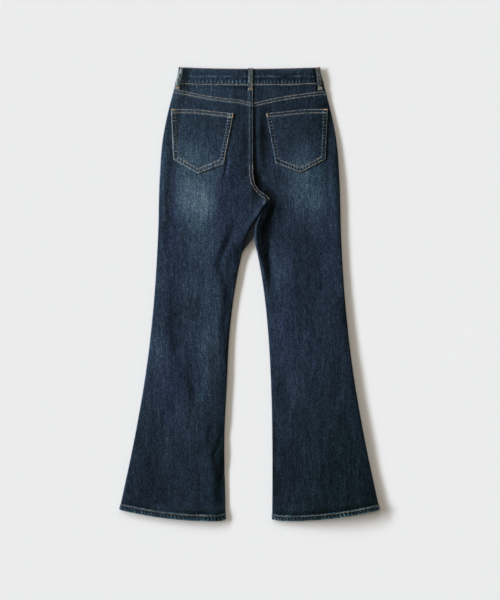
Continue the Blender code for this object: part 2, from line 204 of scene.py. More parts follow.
twill = {
    "roughness": 0.85,
    "specular": 0.05,
    "sheen": {"Sheen Weight": 0.015, "Sheen Roughness": 0.5, "Sheen Tint": (0.55, 0.68, 0.85, 1)},
    "ribGap": 0.65 * 2 * math.pi,    # between the ribs
    "ribTurn": -28.0,                # degrees from upright; they lean to the left
    "ribGrain": 1.4,                 # how much the grain adds to their relief
    "strength": 0.35,
    "depth": 0.12,
    "wearGrain": 1.5,                # how much the grain and the flecks break up the wear
    "wearFleck": 2.0,
    "wearStart": -0.75,
    "wearLeast": 0.1,
    "castPatches": (9, 30),          # size of the patches that lean to violet or to green
    "castStrength": 0.40,
    "castSkew": 0.15,                # violet gains this share of blue, and green loses it of red
}
flecks = {
    # size across and down in millimetres, and how finely each kind is broken up
    "grain": ((1.2, 1.5), 0.0),
    "fleck": ((2.2, 12), 2.0),
    "streak": ((5.5, 40), 2.0),
    "slub": ((2.6, 80), 1.0),
    "cloud": ((26, 95), 2.0),
}
denimFinishes = {
    # tone added, tone of worn places, lean to yellow, and the amount of each kind of fleck in tones
    "denim": {"base": 0.0, "worn": 0.90, "warm": 0.0,
              "grain": 0.47, "fleck": 0.26, "streak": 0.155, "slub": 0.09, "cloud": 0.12},
    "bandDenim": {"base": 0.0, "worn": 0.92, "warm": 0.0,
                  "grain": 0.46, "fleck": 0.26, "streak": 0.15, "slub": 0.04, "cloud": 0.08},
    "pocketDenim": {"base": 0.0, "worn": 0.92, "warm": 0.0,
                    "grain": 0.50, "fleck": 0.27, "streak": 0.12, "slub": 0.05, "cloud": 0.08},
    "loopDenim": {"base": 0.14, "worn": 0.96, "warm": 0.15,
                  "grain": 0.60, "fleck": 0.18, "streak": 0.06, "slub": 0.04, "cloud": 0.04},
}


def makeDenim(name, finish):
    material, tree, shader, coords = newMaterial(name, twill["roughness"], twill["specular"])
    for key, value in twill["sheen"].items():
        shader.inputs[key].default_value = value
    # each mesh carries how faded its cloth is, with painted shade in that same tone, and how worn and how
    # violet it is
    fadeAndShade, wear, violet = (addNode(tree, "ShaderNodeAttribute", attribute_name=key).outputs["Fac"]
                          for key in ("fadeAndShade", "wear", "violet"))

    noises = {kind: stretchedNoise(tree, coords, size, detail) for kind, (size, detail) in flecks.items()}
    tone = calculate(tree, "ADD", fadeAndShade, finish["base"])
    for kind, noise in noises.items():
        centred = calculate(tree, "SUBTRACT", noise, 0.5)
        tone = calculate(tree, "MULTIPLY_ADD", centred, 2 * finish[kind], tone)

    # wear takes the raised flecks first
    raised = calculate(tree, "MULTIPLY_ADD", noises["fleck"], twill["wearFleck"], twill["wearStart"])
    raised = calculate(tree, "MULTIPLY_ADD", noises["grain"], twill["wearGrain"], raised)
    worn = calculate(tree, "MULTIPLY", wear, calculate(tree, "MAXIMUM", raised, twill["wearLeast"]))
    reach = calculate(tree, "SUBTRACT", finish["worn"], tone)
    tone = calculate(tree, "MULTIPLY_ADD", worn, reach, tone)

    span = toneRange[1] - toneRange[0]
    dye = colourScale(tree, calculate(tree, "MULTIPLY_ADD", tone, 1 / span, -toneRange[0] / span),
                      [((place - toneRange[0]) / span, colour) for place, colour in denimTones])

    # indigo leans to violet in some patches and to green in others
    patches = stretchedNoise(tree, coords, twill["castPatches"], detail=3.0, roughness=0.7)
    centred = calculate(tree, "SUBTRACT", patches, 0.5)
    lean = calculate(tree, "MULTIPLY_ADD", centred, twill["castStrength"], violet)
    size = calculate(tree, "ABSOLUTE", lean)
    half = calculate(tree, "MULTIPLY", lean, 0.5)
    red = calculate(tree, "MULTIPLY_ADD", size, -twill["castSkew"], half)
    blue = calculate(tree, "MULTIPLY_ADD", size, twill["castSkew"], half)
    cast = addNode(tree, "ShaderNodeCombineXYZ", {"Y": 1.0,
                   "X": calculate(tree, "EXPONENT", calculate(tree, "ADD", red, 0.5 * finish["warm"])),
                   "Z": calculate(tree, "EXPONENT", calculate(tree, "ADD", blue, -finish["warm"]))})
    dyed = addNode(tree, "ShaderNodeMix", data_type="RGBA", blend_type="MULTIPLY")
    dyed.inputs["Factor"].default_value = 1.0
    tree.links.new(dye, dyed.inputs["A"])
    tree.links.new(cast.outputs["Vector"], dyed.inputs["B"])
    tree.links.new(dyed.outputs["Result"], shader.inputs["Base Color"])

    # a wave texture repeats every 2 pi / 20 of its own units
    turn = (0, 0, math.radians(twill["ribTurn"]))
    turned = addNode(tree, "ShaderNodeMapping", {"Vector": coords, "Rotation": turn})
    ribs = addNode(tree, "ShaderNodeTexWave", {"Vector": turned.outputs["Vector"],
                   "Scale": 2 * math.pi / 20 / (twill["ribGap"] * mm), "Distortion": 0.6, "Detail": 1.0},
                   bands_direction="X")
    relief = calculate(tree, "MULTIPLY_ADD", noises["grain"], twill["ribGrain"], ribs.outputs["Fac"])
    addRelief(tree, shader, relief, twill["strength"], twill["depth"])
    return material


inside = {
    # the wrong side of the denim, where the pale weft shows; it is darkened to painted shade for the deep
    # gap by the fork, where it shows
    "roughness": 0.9,
    "specular": 0.1,
    "fleck": (0.9, 2.2),
    "stops": [(0.3, (0.016, 0.022, 0.032)), (0.75, (0.075, 0.092, 0.115))],
}


def makeInside():
    material, tree, shader, coords = newMaterial("shadedDenimInside", inside["roughness"], inside["specular"])
    fleck = stretchedNoise(tree, coords, inside["fleck"])
    tree.links.new(colourScale(tree, fleck, inside["stops"]), shader.inputs["Base Color"])
    addRelief(tree, shader, fleck, strength=0.3, depth=0.1)
    return material


threadColours = {
    # the darkest and the lightest of each thread
    "tanThread": ((0.18, 0.15, 0.105), (0.66, 0.555, 0.39)),
    "brownThread": ((0.10, 0.07, 0.045), (0.42, 0.30, 0.175)),
    "dullThread": ((0.03, 0.036, 0.04), (0.24, 0.22, 0.175)),
    "tackThread": ((0.34, 0.17, 0.07), (0.62, 0.36, 0.16)),
}
yarn = {
    "roughness": 0.6,
    "specular": 0.3,
    "patch": (5, 5),             # size of the patches that its colour comes in
    "patchEdge": (0.38, 0.62),   # how sharply the two colours part
    "ply": (0.25, 0.25),
}


def makeThread(name, dark, light):
    material, tree, shader, coords = newMaterial(name, yarn["roughness"], yarn["specular"])
    patch = stretchedNoise(tree, coords, yarn["patch"], roughness=0.7)
    colour = colourScale(tree, patch, zip(yarn["patchEdge"], (dark, light)))
    tree.links.new(colour, shader.inputs["Base Color"])
    addRelief(tree, shader, stretchedNoise(tree, coords, yarn["ply"], detail=1.0), strength=0.4, depth=0.08)
    return material


materials = {name: makeDenim(name, finish) for name, finish in denimFinishes.items()}
materials["inside"] = makeInside()
for name, colours in threadColours.items():
    materials[name] = makeThread(name, *colours)
print("materials ready")


outline = {
    # the garment's, as its solids have it
    "length": 1043.0,        # waist corners to the lowest point of the hems
    "waistDip": 3.2,         # the back's top edge sags this much at the centre
    "frontDip": 12.0,        # and the front's this much
    "waistHalf": 158.0,
    "bandHeight": 41.0,
    "bandHalf": 171.0,
    "bandRise": 2.4,         # of the band's lower edge, towards the sides
    "fell": 9.0,             # the seat seam's edge runs this far right of the centre
    "fork": 304.0,           # where the inseams meet
    "frontBends": 180.0,     # the front seam starts to bend towards the fork
    "frontShadeFill": (378, 428),     # the front's inseams part between these drops; above them the front's left leg fills the gap as a dark sheet of painted shade
    "hemLowX": 85.0,
    "hemCornerX": 300.0,
    "hemRise": 26.5,
    "hemCut": {-1: (3.6, 53, 66), 1: (2.4, 52, 78)},     # rise at the inseams, and where it starts and ends
}

sideSeam = [
    # drop, half width
    (0, 158), (41, 171), (78, 181), (115, 190), (170, 200), (245, 206),
    (390, 210.5), (540, 220), (685, 236), (835, 261), (980, 291), (1043, 305),
]
seatSeam = [
    # drop, x
    (0, 9), (215, 9), (235, 9.2), (252, 10.6), (265, 13.2), (276, 19), (286, 29.5), (295, 42), (304, 48),
]
yokeLine = [
    # x, drop of the yokes' seam
    (-184, 56), (-174.8, 56.8), (-141.5, 61.8), (-113.9, 67.6), (-95.5, 71.2), (-60, 75.9),
    (-12.7, 82.0), (-2.5, 84.8), (6.9, 87.8), (10.4, 87.3), (38, 80.8), (84.6, 71.8), (130, 65.2),
    (175.7, 59.8), (184, 59.2),
]
inseams = {
    -1: [
        # drop, x
        (304, 48), (321, 34), (338, 23), (353, 12), (394, -9), (428, -17.5), (483, -29),
        (557, -40.5), (630, -47.5), (722, -52), (833, -57.5), (1043, -55),
    ],
    1: [
        (304, 48), (321, 34.8), (341, 22.7), (351, 18.2), (360, 14.2), (370, 12.2), (387, 11), (409, 13.8),
        (424, 17.3), (465, 25.5), (538, 36), (612, 43), (722, 49.2), (851, 52.3), (930, 52.6), (1043, 52),
    ],
}
sideNames = {-1: "Left", 1: "Right"}


def smoothTable(rows, at):
    # value of a two-column table, on a cubic through its rows
    keys, values = np.array([row[:2] for row in rows], float).T
    widths = np.diff(keys)
    rates = np.diff(values) / widths
    inner = (rates[:-1] * widths[1:] + rates[1:] * widths[:-1]) / (widths[:-1] + widths[1:])
    slopes = np.concatenate(([rates[0]], inner, [rates[-1]]))
    at = np.clip(at, keys[0], keys[-1])
    i = np.clip(np.searchsorted(keys, at, side="right") - 1, 0, len(widths) - 1)
    t = (at - keys[i]) / widths[i]
    return ((2 * t**3 - 3 * t**2 + 1) * values[i] + (3 * t**2 - 2 * t**3) * values[i + 1]
            + widths[i] * ((t**3 - 2 * t**2 + t) * slopes[i] + (t**3 - t**2) * slopes[i + 1]))


def ramp(value, low, high):
    t = np.clip((value - low) / (high - low), 0, 1)
    return t * t * (3 - 2 * t)


def mix(a, b, share):
    return a + (b - a) * share


def waistTop(x):
    return outline["waistDip"] * (1 - (x / outline["waistHalf"])**2)


def frontDip(x):
    return outline["frontDip"] * np.maximum(0, 1 - (x / outline["bandHalf"])**2)


def bandLine(x):
    return outline["bandHeight"] - outline["bandRise"] * (ramp(-x, 100, 165) + ramp(x, 90, 158))


def yokeSeam(x):
    return smoothTable(yokeLine, x)


def hemLine(x):
    away = (np.abs(x) - outline["hemLowX"]) / (outline["hemCornerX"] - outline["hemLowX"])
    cut = sum(rise * (1 - ramp(side * x, start, end)) * (side * x > 0)
              for side, (rise, start, end) in outline["hemCut"].items())
    return outline["length"] - outline["hemRise"] * away**2 - cut


def sideX(side, drop):
    return side * smoothTable(sideSeam, drop)


def leftToRight(side, outer, inner):
    # what belongs to a half's side seam and to its inner edge, in order from the left
    return (outer, inner) if side < 0 else (inner, outer)


def innerX(side, drop, front=False):
    seat = smoothTable(seatSeam, drop)
    leg = smoothTable(inseams[side], drop)
    if front:
        seat = seat - outline["fell"] * (1 - ramp(drop, outline["frontBends"], outline["fork"]))
        if side < 0:      # the front's left leg fills the top of the gap between the back's legs: a dark sheet as painted shade where the floor lies in deep shade
            leg = mix(smoothTable(inseams[1], drop), leg, ramp(drop, *outline["frontShadeFill"]))
    return np.where(drop > outline["fork"], leg, seat)


def hump(away, reach, power=2):
    # 1 where away is 0, fading out over a reach on both sides
    return np.exp(-(away / reach)**power)


def softNoise(x, drop, size, seed):
    # smooth noise between -1 and 1 with features about size (across, down) millimetres
    lattice = np.random.default_rng(seed).uniform(-1, 1, (64, 64))
    u, v = x / size[0] + 500.3, drop / size[1] + 300.7
    i, j = np.floor(u).astype(int), np.floor(v).astype(int)
    s, t = ramp(u - i, 0, 1), ramp(v - j, 0, 1)
    near = mix(lattice[i % 64, j % 64], lattice[(i + 1) % 64, j % 64], s)
    far = mix(lattice[i % 64, (j + 1) % 64], lattice[(i + 1) % 64, (j + 1) % 64], s)
    return mix(near, far, t)


def lengthsOf(path):
    # distance along a path at each of its points
    return np.concatenate(([0], np.cumsum(np.hypot(*np.diff(path[:, :2], axis=0).T))))


def smoothPath(points, step=3.0):
    # points are (x, drop, ...); every column is carried along a smooth curve through them
    points = np.array(points, float)
    along = lengthsOf(points)
    at = np.linspace(0, along[-1], max(2, math.ceil(along[-1] / step) + 1))
    return np.stack([smoothTable(list(zip(along, column)), at) for column in points.T], axis=1)


def lineFrom(start, end):
    # length and direction of a line between two places
    length = math.hypot(end[0] - start[0], end[1] - start[1])
    return length, ((end[0] - start[0]) / length, (end[1] - start[1]) / length)


def placeOn(start, way, at, across=0.0):
    # the place that far along a line, and that far across it
    return start[0] + way[0] * at + way[1] * across, start[1] + way[1] * at - way[0] * across


def nearPath(x, drop, path):
    # signed distance, positive to the right of a path that runs down, and how far along it that is
    best = np.full(x.shape, np.inf)
    side, along = np.zeros(x.shape), np.zeros(x.shape)
    passed = 0.0
    for start, end in zip(path[:-1], path[1:]):
        length, (ux, ud) = lineFrom(start, end)
        t = np.clip((x - start[0]) * ux + (drop - start[1]) * ud, 0, length)
        ox, od = x - start[0] - t * ux, drop - start[1] - t * ud
        distance = np.hypot(ox, od)
        nearer = distance < best
        best = np.where(nearer, distance, best)
        side = np.where(nearer, np.sign(ud * ox - ux * od), side)
        along = np.where(nearer, passed + t, along)
        passed += length
    return best * np.where(side < 0, -1, 1), along


def pucker(along, pitch, seed):
    # uneven ripple between -1 and 1 down a row of stitches
    drift = 1.6 * np.sin(along / 31 + seed) + 0.9 * np.sin(along / 13.7 + 2.1 * seed)
    strength = 0.72 + 0.28 * np.sin(along / 23 + 3.3 * seed)
    return strength * np.sin(2 * math.pi * along / pitch + drift)


def roundEdge(inside, radius):
    # share of full height at a distance inside a rounded edge
    return np.sqrt(1 - (1 - np.clip(inside / radius, 0, 1))**2)


def roundInto(z, base, inside, radius):
    return base + (z - base) * roundEdge(inside, radius)


def rollInto(z, base, inside):
    # a seam's rolled edge: steep at the seam, with a long soft shoulder
    shoulder = roundEdge(inside, lie["shoulder"])
    return base + (z - base) * mix(shoulder, roundEdge(inside, lie["edgeRadius"]), lie["steep"])


lie = {
    # how the layers lie
    "denim": 1.0,            # one layer
    "wall": 0.95,            # thickness of a piece of denim
    "layerGap": 0.2,
    "bandCloth": 2.1,        # folded waistband
    "bandEnd": (59, 88),     # the front's band gives way to one layer between these drops
    "hemCloth": 2.1,         # turned-up hem
    "hemStart": (1005, 1022),
    "foldRadius": 1.05,      # of the hems' and waistband's folded edges
    "seamHeight": 2.9,       # of the side seams and inseams, above the floor
    "edgeRadius": 2.6,       # of the rolled edges
    "shoulder": 16.0,        # and of their long soft shoulder
    "steep": 0.74,           # share of the height that is gained over the tighter radius
    "edgeAir": 3.6,          # between front and back, beside a side seam
    "edgeFall": {-1: (8, 40), 1: (2, 26)},       # distances in from the side seam over which that fades
    "airFloor": 0.35,        # height over which the back comes to rest on the front
    "lap": 1.2,              # height that one piece gains where it laps over another
    "lapRadius": 0.9,
    "forkBlend": 30.0,       # length below the fork over which a half turns into a leg
}

bellyAir = [
    # drop, air between front and back in the middle of the seat
    (0, 0.9), (60, 1.0), (150, 1.8), (300, 2.8), (440, 3.4),
]
legAir = [
    # drop, air in the middle of a leg
    (300, 4.2), (440, 5.0), (700, 5.5), (900, 5.8), (985, 4.6), (1043, 2.6),
]

forkLift = {
    # both thighs stand up by the fork
    "height": 9.0,
    "drop": 352.0,
    "reach": 51.0,
    "across": 30.0,
    "seamShare": 0.8,        # of the lift, for the inseams themselves
}

backCreases = [
    # folds and creases of the back, each as its left width, right width, and path of x, drop, height
    # roll of cloth down the right inner thigh, and the deep fold beside it
    (5, 4, [(29, 335, 0), (24, 345, 1.5), (18, 362, 3.0), (16, 380, 3.5), (17, 400, 4.0), (21, 424, 3.5),
            (30, 455, 2.5), (40, 500, 1.2), (50, 560, 0)]),
    (5, 15, [(12, 200, -0.8), (15, 240, -2.2), (20, 264, -4.5), (31, 282, -6.5), (44, 296, -8),
             (46, 306, -9), (40, 323, -12), (33, 343, -13), (27, 366, -13), (27, 390, -12), (30, 415, -9.5),
             (37, 445, -6), (45, 475, -3), (54, 520, 0)]),
    # beside the seat seam
    (3, 9, [(12.5, 92, -0.6), (12.5, 150, -1.5), (12.5, 220, -1.7), (15, 250, 0)]),
    # under the left pocket's corner
    (2.2, 3.2, [(-49, 205, 0), (-52, 222, -1.6), (-55.5, 240, -1.8), (-61, 262, 0)]),
    (2.0, 2.6, [(-36, 240, 0), (-29, 252, -1.1), (-21, 263, -0.9), (-14, 270, 0)]),
    # left inner thigh
    (9, 8, [(-30, 348, 0), (-37, 364, -1.4), (-47, 397, -2.4), (-61, 431, -2.6), (-67, 456, -2.0),
            (-57, 486, -2.2), (-49, 515, -2.0), (-53, 546, -1.6), (-58, 590, -1.5), (-62, 640, -1.2),
            (-66, 690, 0)]),
    (9, 10, [(-8, 352, 0), (-22, 385, 1.2), (-36, 430, 1.3), (-42, 480, 0.8), (-46, 530, 0)]),
    # left thigh and knee
    (9, 11, [(-186, 215, 0), (-184, 300, -1.2), (-182, 400, -1.3), (-180, 500, -1.1), (-178, 585, -1.5),
             (-168, 640, -1.6), (-150, 700, -1.4), (-132, 735, -1.2), (-124, 790, 0)]),
    (16, 18, [(-150, 480, 0), (-140, 560, 0.9), (-120, 640, 1.1), (-96, 700, 0.9), (-84, 760, 0)]),
    (11, 13, [(-146, 655, 0), (-136, 700, -1.3), (-128, 745, -1.2), (-124, 800, 0)]),
    # left calf, towards the inseam
    (8, 7, [(-54, 815, 0), (-62, 850, -1.5), (-74, 880, -1.3), (-88, 915, 0)]),
    (18, 16, [(-110, 800, 0), (-96, 870, 0.9), (-84, 940, 0.8), (-78, 1000, 0)]),
    # right leg, which lies smoother
    (20, 24, [(78, 520, 0), (84, 600, 0.8), (92, 690, 0.8), (96, 780, 0)]),
    (16, 20, [(120, 560, 0), (128, 650, -0.7), (140, 740, -0.8), (150, 830, 0)]),
    (22, 22, [(170, 700, 0), (184, 790, 0.8), (200, 880, 0.7), (214, 960, 0)]),
]

hemLift = [
    # x, how far the back's hem stands off the front's
    (-305, 0), (-250, 0.2), (-190, 1.0), (-130, 1.9), (-80, 2.8), (-50, 2.2), (50, -0.6),
    (80, 0), (120, 2.8), (150, 4.9), (200, 6.9), (250, 8.2), (285, 7.6), (305, 6.5),
]

rightLift = [
    # drop, how much further the right side seam stands off the floor
    (0, -3.8), (60, -3.4), (130, -2.0), (210, -0.7), (300, 0.5), (520, 1.2), (760, 2.8), (900, 2.2),
    (950, 0.8), (1000, -2.6), (1043, -1.6),
]


def clothAt(drop):
    # one layer of denim, and then the turned-up hem
    return mix(lie["denim"], lie["hemCloth"], ramp(drop, *lie["hemStart"]))


def frontTop(drop):
    # top of the front layer that the back lies on
    band = mix(lie["bandCloth"], lie["denim"], ramp(drop, *lie["bandEnd"]))
    return mix(band, lie["hemCloth"], ramp(drop, *lie["hemStart"]))


def lieOf(side, x, drop, front=False):
    # distances in from the side seam and from the inner seam, and how much of a leg this is
    outer = side * (sideX(side, drop) - x)
    inner = side * (x - innerX(side, drop, front))
    return outer, inner, ramp(drop, outline["fork"], outline["fork"] + lie["forkBlend"])


def creaseSum(x, drop, creases):
    total = np.zeros(x.shape)
    for left, right, points in creases:
        path = smoothPath(points, 8)
        reach = 3 * max(left, right)
        close = ((x > path[:, 0].min() - reach) & (x < path[:, 0].max() + reach)
                 & (drop > path[:, 1].min() - reach) & (drop < path[:, 1].max() + reach))
        if not close.any():
            continue
        across, along = nearPath(x[close], drop[close], path)
        height = np.interp(along, lengthsOf(path), path[:, 2])
        total[close] += height * hump(across, np.where(across < 0, left, right))
    return total


def nearHem(drop):
    return ramp(drop, 890, 1038)**1.5


def liftAt(drop, inner):
    near = hump(drop - forkLift["drop"], forkLift["reach"])
    return forkLift["height"] * near * hump(np.maximum(inner, 0), forkLift["across"])


legShape = {
    "from": 450,                     # drop where a leg has its own shape
    "inseamAir": 0.75,               # share of the side seams' air that lies beside the inseams
    "inseamReach": 18,
    "leftLoss": 0.5,                 # share of its fullness that a leg loses by its left edge
    "leftReach": (2, 40),
    "rightExtra": 0.3,               # it loses all by its right edge, and this much more
    "rightReach": (1, 46),
    "calf": (890, 950),              # the left calf's inner edge sinks between these drops
    "calfSink": 2.6,
    "hemSink": 2.4,
    "calfReach": (3, 26),
}
ruffles = [
    # height, size across and down, seed
    (0.35, (46, 80), 5), (0.16, (17, 38), 6), (0.06, (7, 15), 7),
]


def backHeight(side, x, drop):
    # outer face of the lower back layer
    outer, inner, onLeg = lieOf(side, x, drop)
    fromLeft, fromRight = leftToRight(side, outer, inner)
    edgeAir = lie["edgeAir"]
    torso = smoothTable(bellyAir, drop) * (1 - (x / np.abs(sideX(side, drop)))**2)
    torso += edgeAir * (1 - ramp(outer, *lie["edgeFall"][side]))
    inseamAir = onLeg * legShape["inseamAir"] * edgeAir
    torso += inseamAir * (1 - ramp(inner, lie["edgeRadius"], legShape["inseamReach"]))

    # a leg is fuller towards its left edge
    full = smoothTable(legAir, drop)
    leg = full - legShape["leftLoss"] * (full - edgeAir) * (1 - ramp(fromLeft, *legShape["leftReach"]))
    leg -= (full - edgeAir + legShape["rightExtra"]) * (1 - ramp(fromRight, *legShape["rightReach"]))

    air = mix(torso, leg, ramp(drop, outline["fork"], legShape["from"]))
    air += smoothTable(hemLift, x) * nearHem(drop) + creaseSum(x, drop, backCreases)
    if side > 0:
        air += smoothTable(rightLift, drop) * (1 - ramp(outer, 2, 44))
    else:
        sink = legShape["calfSink"] + legShape["hemSink"] * nearHem(drop)
        air -= sink * ramp(drop, *legShape["calf"]) * (1 - ramp(inner, *legShape["calfReach"]))
    uneven = sum(height * softNoise(x, drop, size, seed) for height, size, seed in ruffles)
    air += ramp(drop, 60, 130) * uneven
    air = np.log1p(np.exp(np.clip(air / lie["airFloor"], -30, 60))) * lie["airFloor"]
    return frontTop(drop) + liftAt(drop, inner) + lie["layerGap"] + clothAt(drop) + air


def seamBase(side, x, drop):
    # the side seams and inseams, where the back's and the front's edges meet
    base = lie["seamHeight"] + mix(0, 0.7 * smoothTable(hemLift, x), ramp(x, 60, 250)) * nearHem(drop)
    return base + forkLift["seamShare"] * liftAt(drop, side * (x - innerX(side, drop)))


baseFade = [
    # drop, tone of the cloth on the denim's scale
    (0, 0.27), (60, 0.27), (150, 0.24), (300, 0.25), (450, 0.265), (600, 0.265), (750, 0.235), (850, 0.205),
    (950, 0.165), (1043, 0.12),
]
shadeAcross = -0.0003         # tone added for each millimetre to the right: painted shade, darker away from the lamps on the left
fadeAndShadeSpots = [
    # x, drop, half width, half height, tone added; the lighter spots are wash fades, and many darker ones
    # are painted shade beside the seat seam, under the waistband, by the fork, the belt loops and the
    # right-hand edges
    # waistband
    (-110, 8, 50, 8, 0.06), (20, 8, 40, 8, -0.05), (80, 8, 70, 8, 0.06), (85, 8, 26, 10, 0.07),
    (-141, 16, 20, 18, 0.08), (160, 22, 12, 24, -0.14), (80, 26, 100, 14, -0.12),
    (110, 28, 70, 16, -0.05),
    # yokes
    (-8, 48, 14, 8, -0.08), (-110, 62, 80, 26, 0.09), (170, 88, 16, 8, -0.06), (85, 92, 50, 18, -0.07),
    # left pocket and seat
    (-8, 160, 9, 60, -0.10), (-104, 170, 60, 50, 0.07), (-172, 180, 8, 24, 0.10),
    (-40, 180, 50, 90, -0.03), (-82, 183, 22, 26, 0.09), (-166, 190, 24, 170, 0.10),
    (-50, 190, 16, 40, 0.08), (-138, 196, 36, 26, 0.16), (-8, 213, 7, 14, 0.07),
    (-98, 226, 70, 28, 0.16), (-80, 232, 24, 24, 0.08), (-25, 235, 30, 46, -0.10),
    (-196, 245, 13, 100, 0.12), (-146, 252, 28, 34, 0.10), (-90, 262, 30, 18, 0.10),
    (-122, 302, 50, 48, 0.36), (-194, 330, 9, 40, 0.06), (-118, 330, 44, 60, 0.06),
    (-20, 340, 50, 50, -0.03), (-6, 342, 14, 18, -0.08),
    # right pocket and seat
    (168, 100, 20, 50, -0.08), (172, 115, 12, 40, -0.08), (182, 130, 12, 60, -0.10),
    (95, 160, 50, 50, 0.05), (30, 165, 9, 75, -0.12), (32, 165, 8, 75, -0.12), (32, 170, 18, 80, -0.10),
    (139, 178, 30, 26, 0.05), (33, 182, 16, 22, 0.05), (137, 185, 20, 24, 0.06),
    (118, 200, 36, 30, 0.12), (198, 213, 9, 20, -0.07), (116, 226, 60, 28, 0.14),
    (13, 254, 8, 30, -0.10), (112, 262, 40, 40, 0.08), (201, 265, 10, 100, -0.10),
    (13, 272, 7, 22, -0.14), (14, 285, 9, 44, -0.14), (132, 285, 50, 58, 0.28),
    (34, 316, 14, 14, -0.10), (36, 320, 14, 14, -0.06), (62, 322, 22, 32, -0.11),
    (96, 335, 36, 40, 0.09),
    # left thigh
    (-26, 364, 16, 20, -0.14), (-112, 385, 46, 60, 0.12), (-48, 405, 12, 44, -0.14),
    (-70, 450, 14, 20, -0.07), (-174, 460, 12, 190, -0.10), (-108, 465, 42, 60, 0.07),
    (-30, 482, 8, 12, -0.12), (-132, 510, 14, 30, 0.08), (-84, 560, 26, 70, 0.14),
    (-50, 580, 12, 90, -0.12),
    # right thigh
    (166, 345, 36, 54, 0.10), (54, 346, 10, 20, 0.09), (38, 394, 8, 24, 0.10), (33, 410, 9, 36, 0.11),
    (72, 462, 28, 50, 0.13), (136, 470, 30, 60, -0.08), (192, 470, 24, 90, 0.09),
    (128, 480, 24, 44, 0.05), (33, 495, 8, 16, -0.11), (170, 532, 16, 24, 0.06),
    (205, 560, 14, 40, -0.05), (219, 560, 9, 40, -0.12),
    # left knee and calf
    (-166, 600, 20, 60, -0.13), (-71, 640, 12, 56, 0.12), (-50, 647, 6, 14, -0.09),
    (-94, 650, 24, 60, 0.13), (-208, 652, 20, 44, 0.10), (-70, 680, 14, 60, 0.06),
    (-132, 695, 14, 60, -0.10), (-90, 740, 20, 50, 0.06), (-150, 830, 40, 50, 0.04),
    # right knee and calf
    (224, 605, 10, 100, -0.14), (90, 640, 40, 120, 0.03), (105, 690, 28, 90, 0.07),
    (204, 700, 16, 40, -0.07), (218, 700, 14, 110, 0.07), (75, 730, 14, 90, -0.07),
    (104, 735, 20, 30, 0.08), (243, 735, 10, 30, -0.07), (114, 765, 18, 34, 0.07),
    (60, 800, 20, 26, 0.07), (61, 898, 8, 44, 0.15),
    # hems
    (210, 900, 60, 160, -0.06), (-70, 905, 10, 30, -0.08), (-240, 910, 44, 120, -0.11),
    (-245, 915, 22, 60, 0.06), (-276, 985, 10, 50, -0.08), (-66, 985, 12, 60, 0.10),
    (-205, 1020, 24, 20, 0.10), (-126, 1020, 20, 10, -0.06), (165, 1020, 20, 10, -0.09),
    (-70, 1022, 14, 26, 0.10), (-110, 1030, 26, 20, -0.08), (240, 1030, 90, 24, -0.12),
]
shadeStrokes = [
    # painted shade down the deep fold by the fork and along the left leg's inner side, and a darker line
    # down the right calf's inner side; left width, right width, and path of x, drop, tone added
    (4.5, 13, [(13, 205, -0.06), (15, 240, -0.10), (20, 262, -0.2), (31, 281, -0.26), (46, 297, -0.32),
               (50, 314, -0.42), (45, 338, -0.42), (33, 362, -0.42), (30, 385, -0.42), (31, 405, -0.36),
               (35, 433, -0.28), (41, 454, -0.22), (46, 475, -0.14), (52, 520, 0)]),
    (12, 6, [(-8, 385, 0), (-30, 425, -0.12), (-48, 455, -0.13), (-46, 500, -0.14), (-46, 560, -0.18),
             (-52, 640, -0.22), (-58, 740, -0.08), (-60, 830, -0.12), (-58, 900, -0.22), (-58, 960, -0.14),
             (-60, 1040, -0.08)]),
    (9, 9, [(50, 790, 0), (55, 850, -0.22), (55, 930, -0.22), (54, 1000, 0)]),
]
loopShadowStrips = [
    # the same, painted shadow beside the belt loops
    (4, 3.2, [(148.5, 0, -0.4), (151.5, 24, -0.4), (155.5, 52, -0.3), (157, 60, 0)]),
    (2.6, 2.0, [(-6.2, 4, -0.35), (-6.2, 24, -0.3), (-6.6, 40, -0.4), (-6.8, 54, -0.2), (-6.8, 60, 0)]),
]
violetSpots = [
    # x, drop, half width, half height, lean to violet, or to green where it is negative
    (0, 105, 190, 44, -0.09), (-120, 200, 50, 60, -0.05), (70, 240, 30, 60, -0.06),
    (100, 610, 80, 160, 0.07), (0, 20, 260, 32, -0.05), (110, 20, 90, 32, -0.06),
    (165, 190, 34, 110, -0.14), (110, 170, 34, 60, -0.06), (62, 165, 26, 90, 0.10),
    (-48, 330, 42, 120, 0.20), (-40, 200, 26, 70, 0.10), (-176, 400, 22, 230, 0.20),
    (-188, 740, 34, 90, 0.20), (-150, 700, 26, 120, 0.10), (-60, 560, 30, 110, 0.06),
    (70, 390, 34, 70, 0.12), (150, 420, 60, 60, 0.14), (180, 480, 26, 150, 0.10),
    (80, 580, 30, 110, 0.10), (140, 640, 30, 60, 0.08), (240, 980, 130, 140, -0.26),
    (190, 900, 60, 150, -0.10), (-72, 960, 26, 130, -0.22), (-60, 860, 16, 120, -0.10),
    (0, 1036, 420, 22, -0.22), (225, 800, 34, 130, -0.10),
]


def spotSum(x, drop, spots):
    total = 0
    for spotX, spotDrop, halfWidth, halfHeight, added in spots:
        away = ((x - spotX) / halfWidth)**2 + ((drop - spotDrop) / halfHeight)**2
        total = total + added * np.exp(-away**1.5)
    return total


def fadeAndShadeAt(x, drop):
    # the cloth's tone: its wash fades, with painted shade down creases, beside the belt loops and in the
    # darker spots
    tone = smoothTable(baseFade, drop) + shadeAcross * x
    return tone + spotSum(x, drop, fadeAndShadeSpots) + creaseSum(x, drop, shadeStrokes + loopShadowStrips)


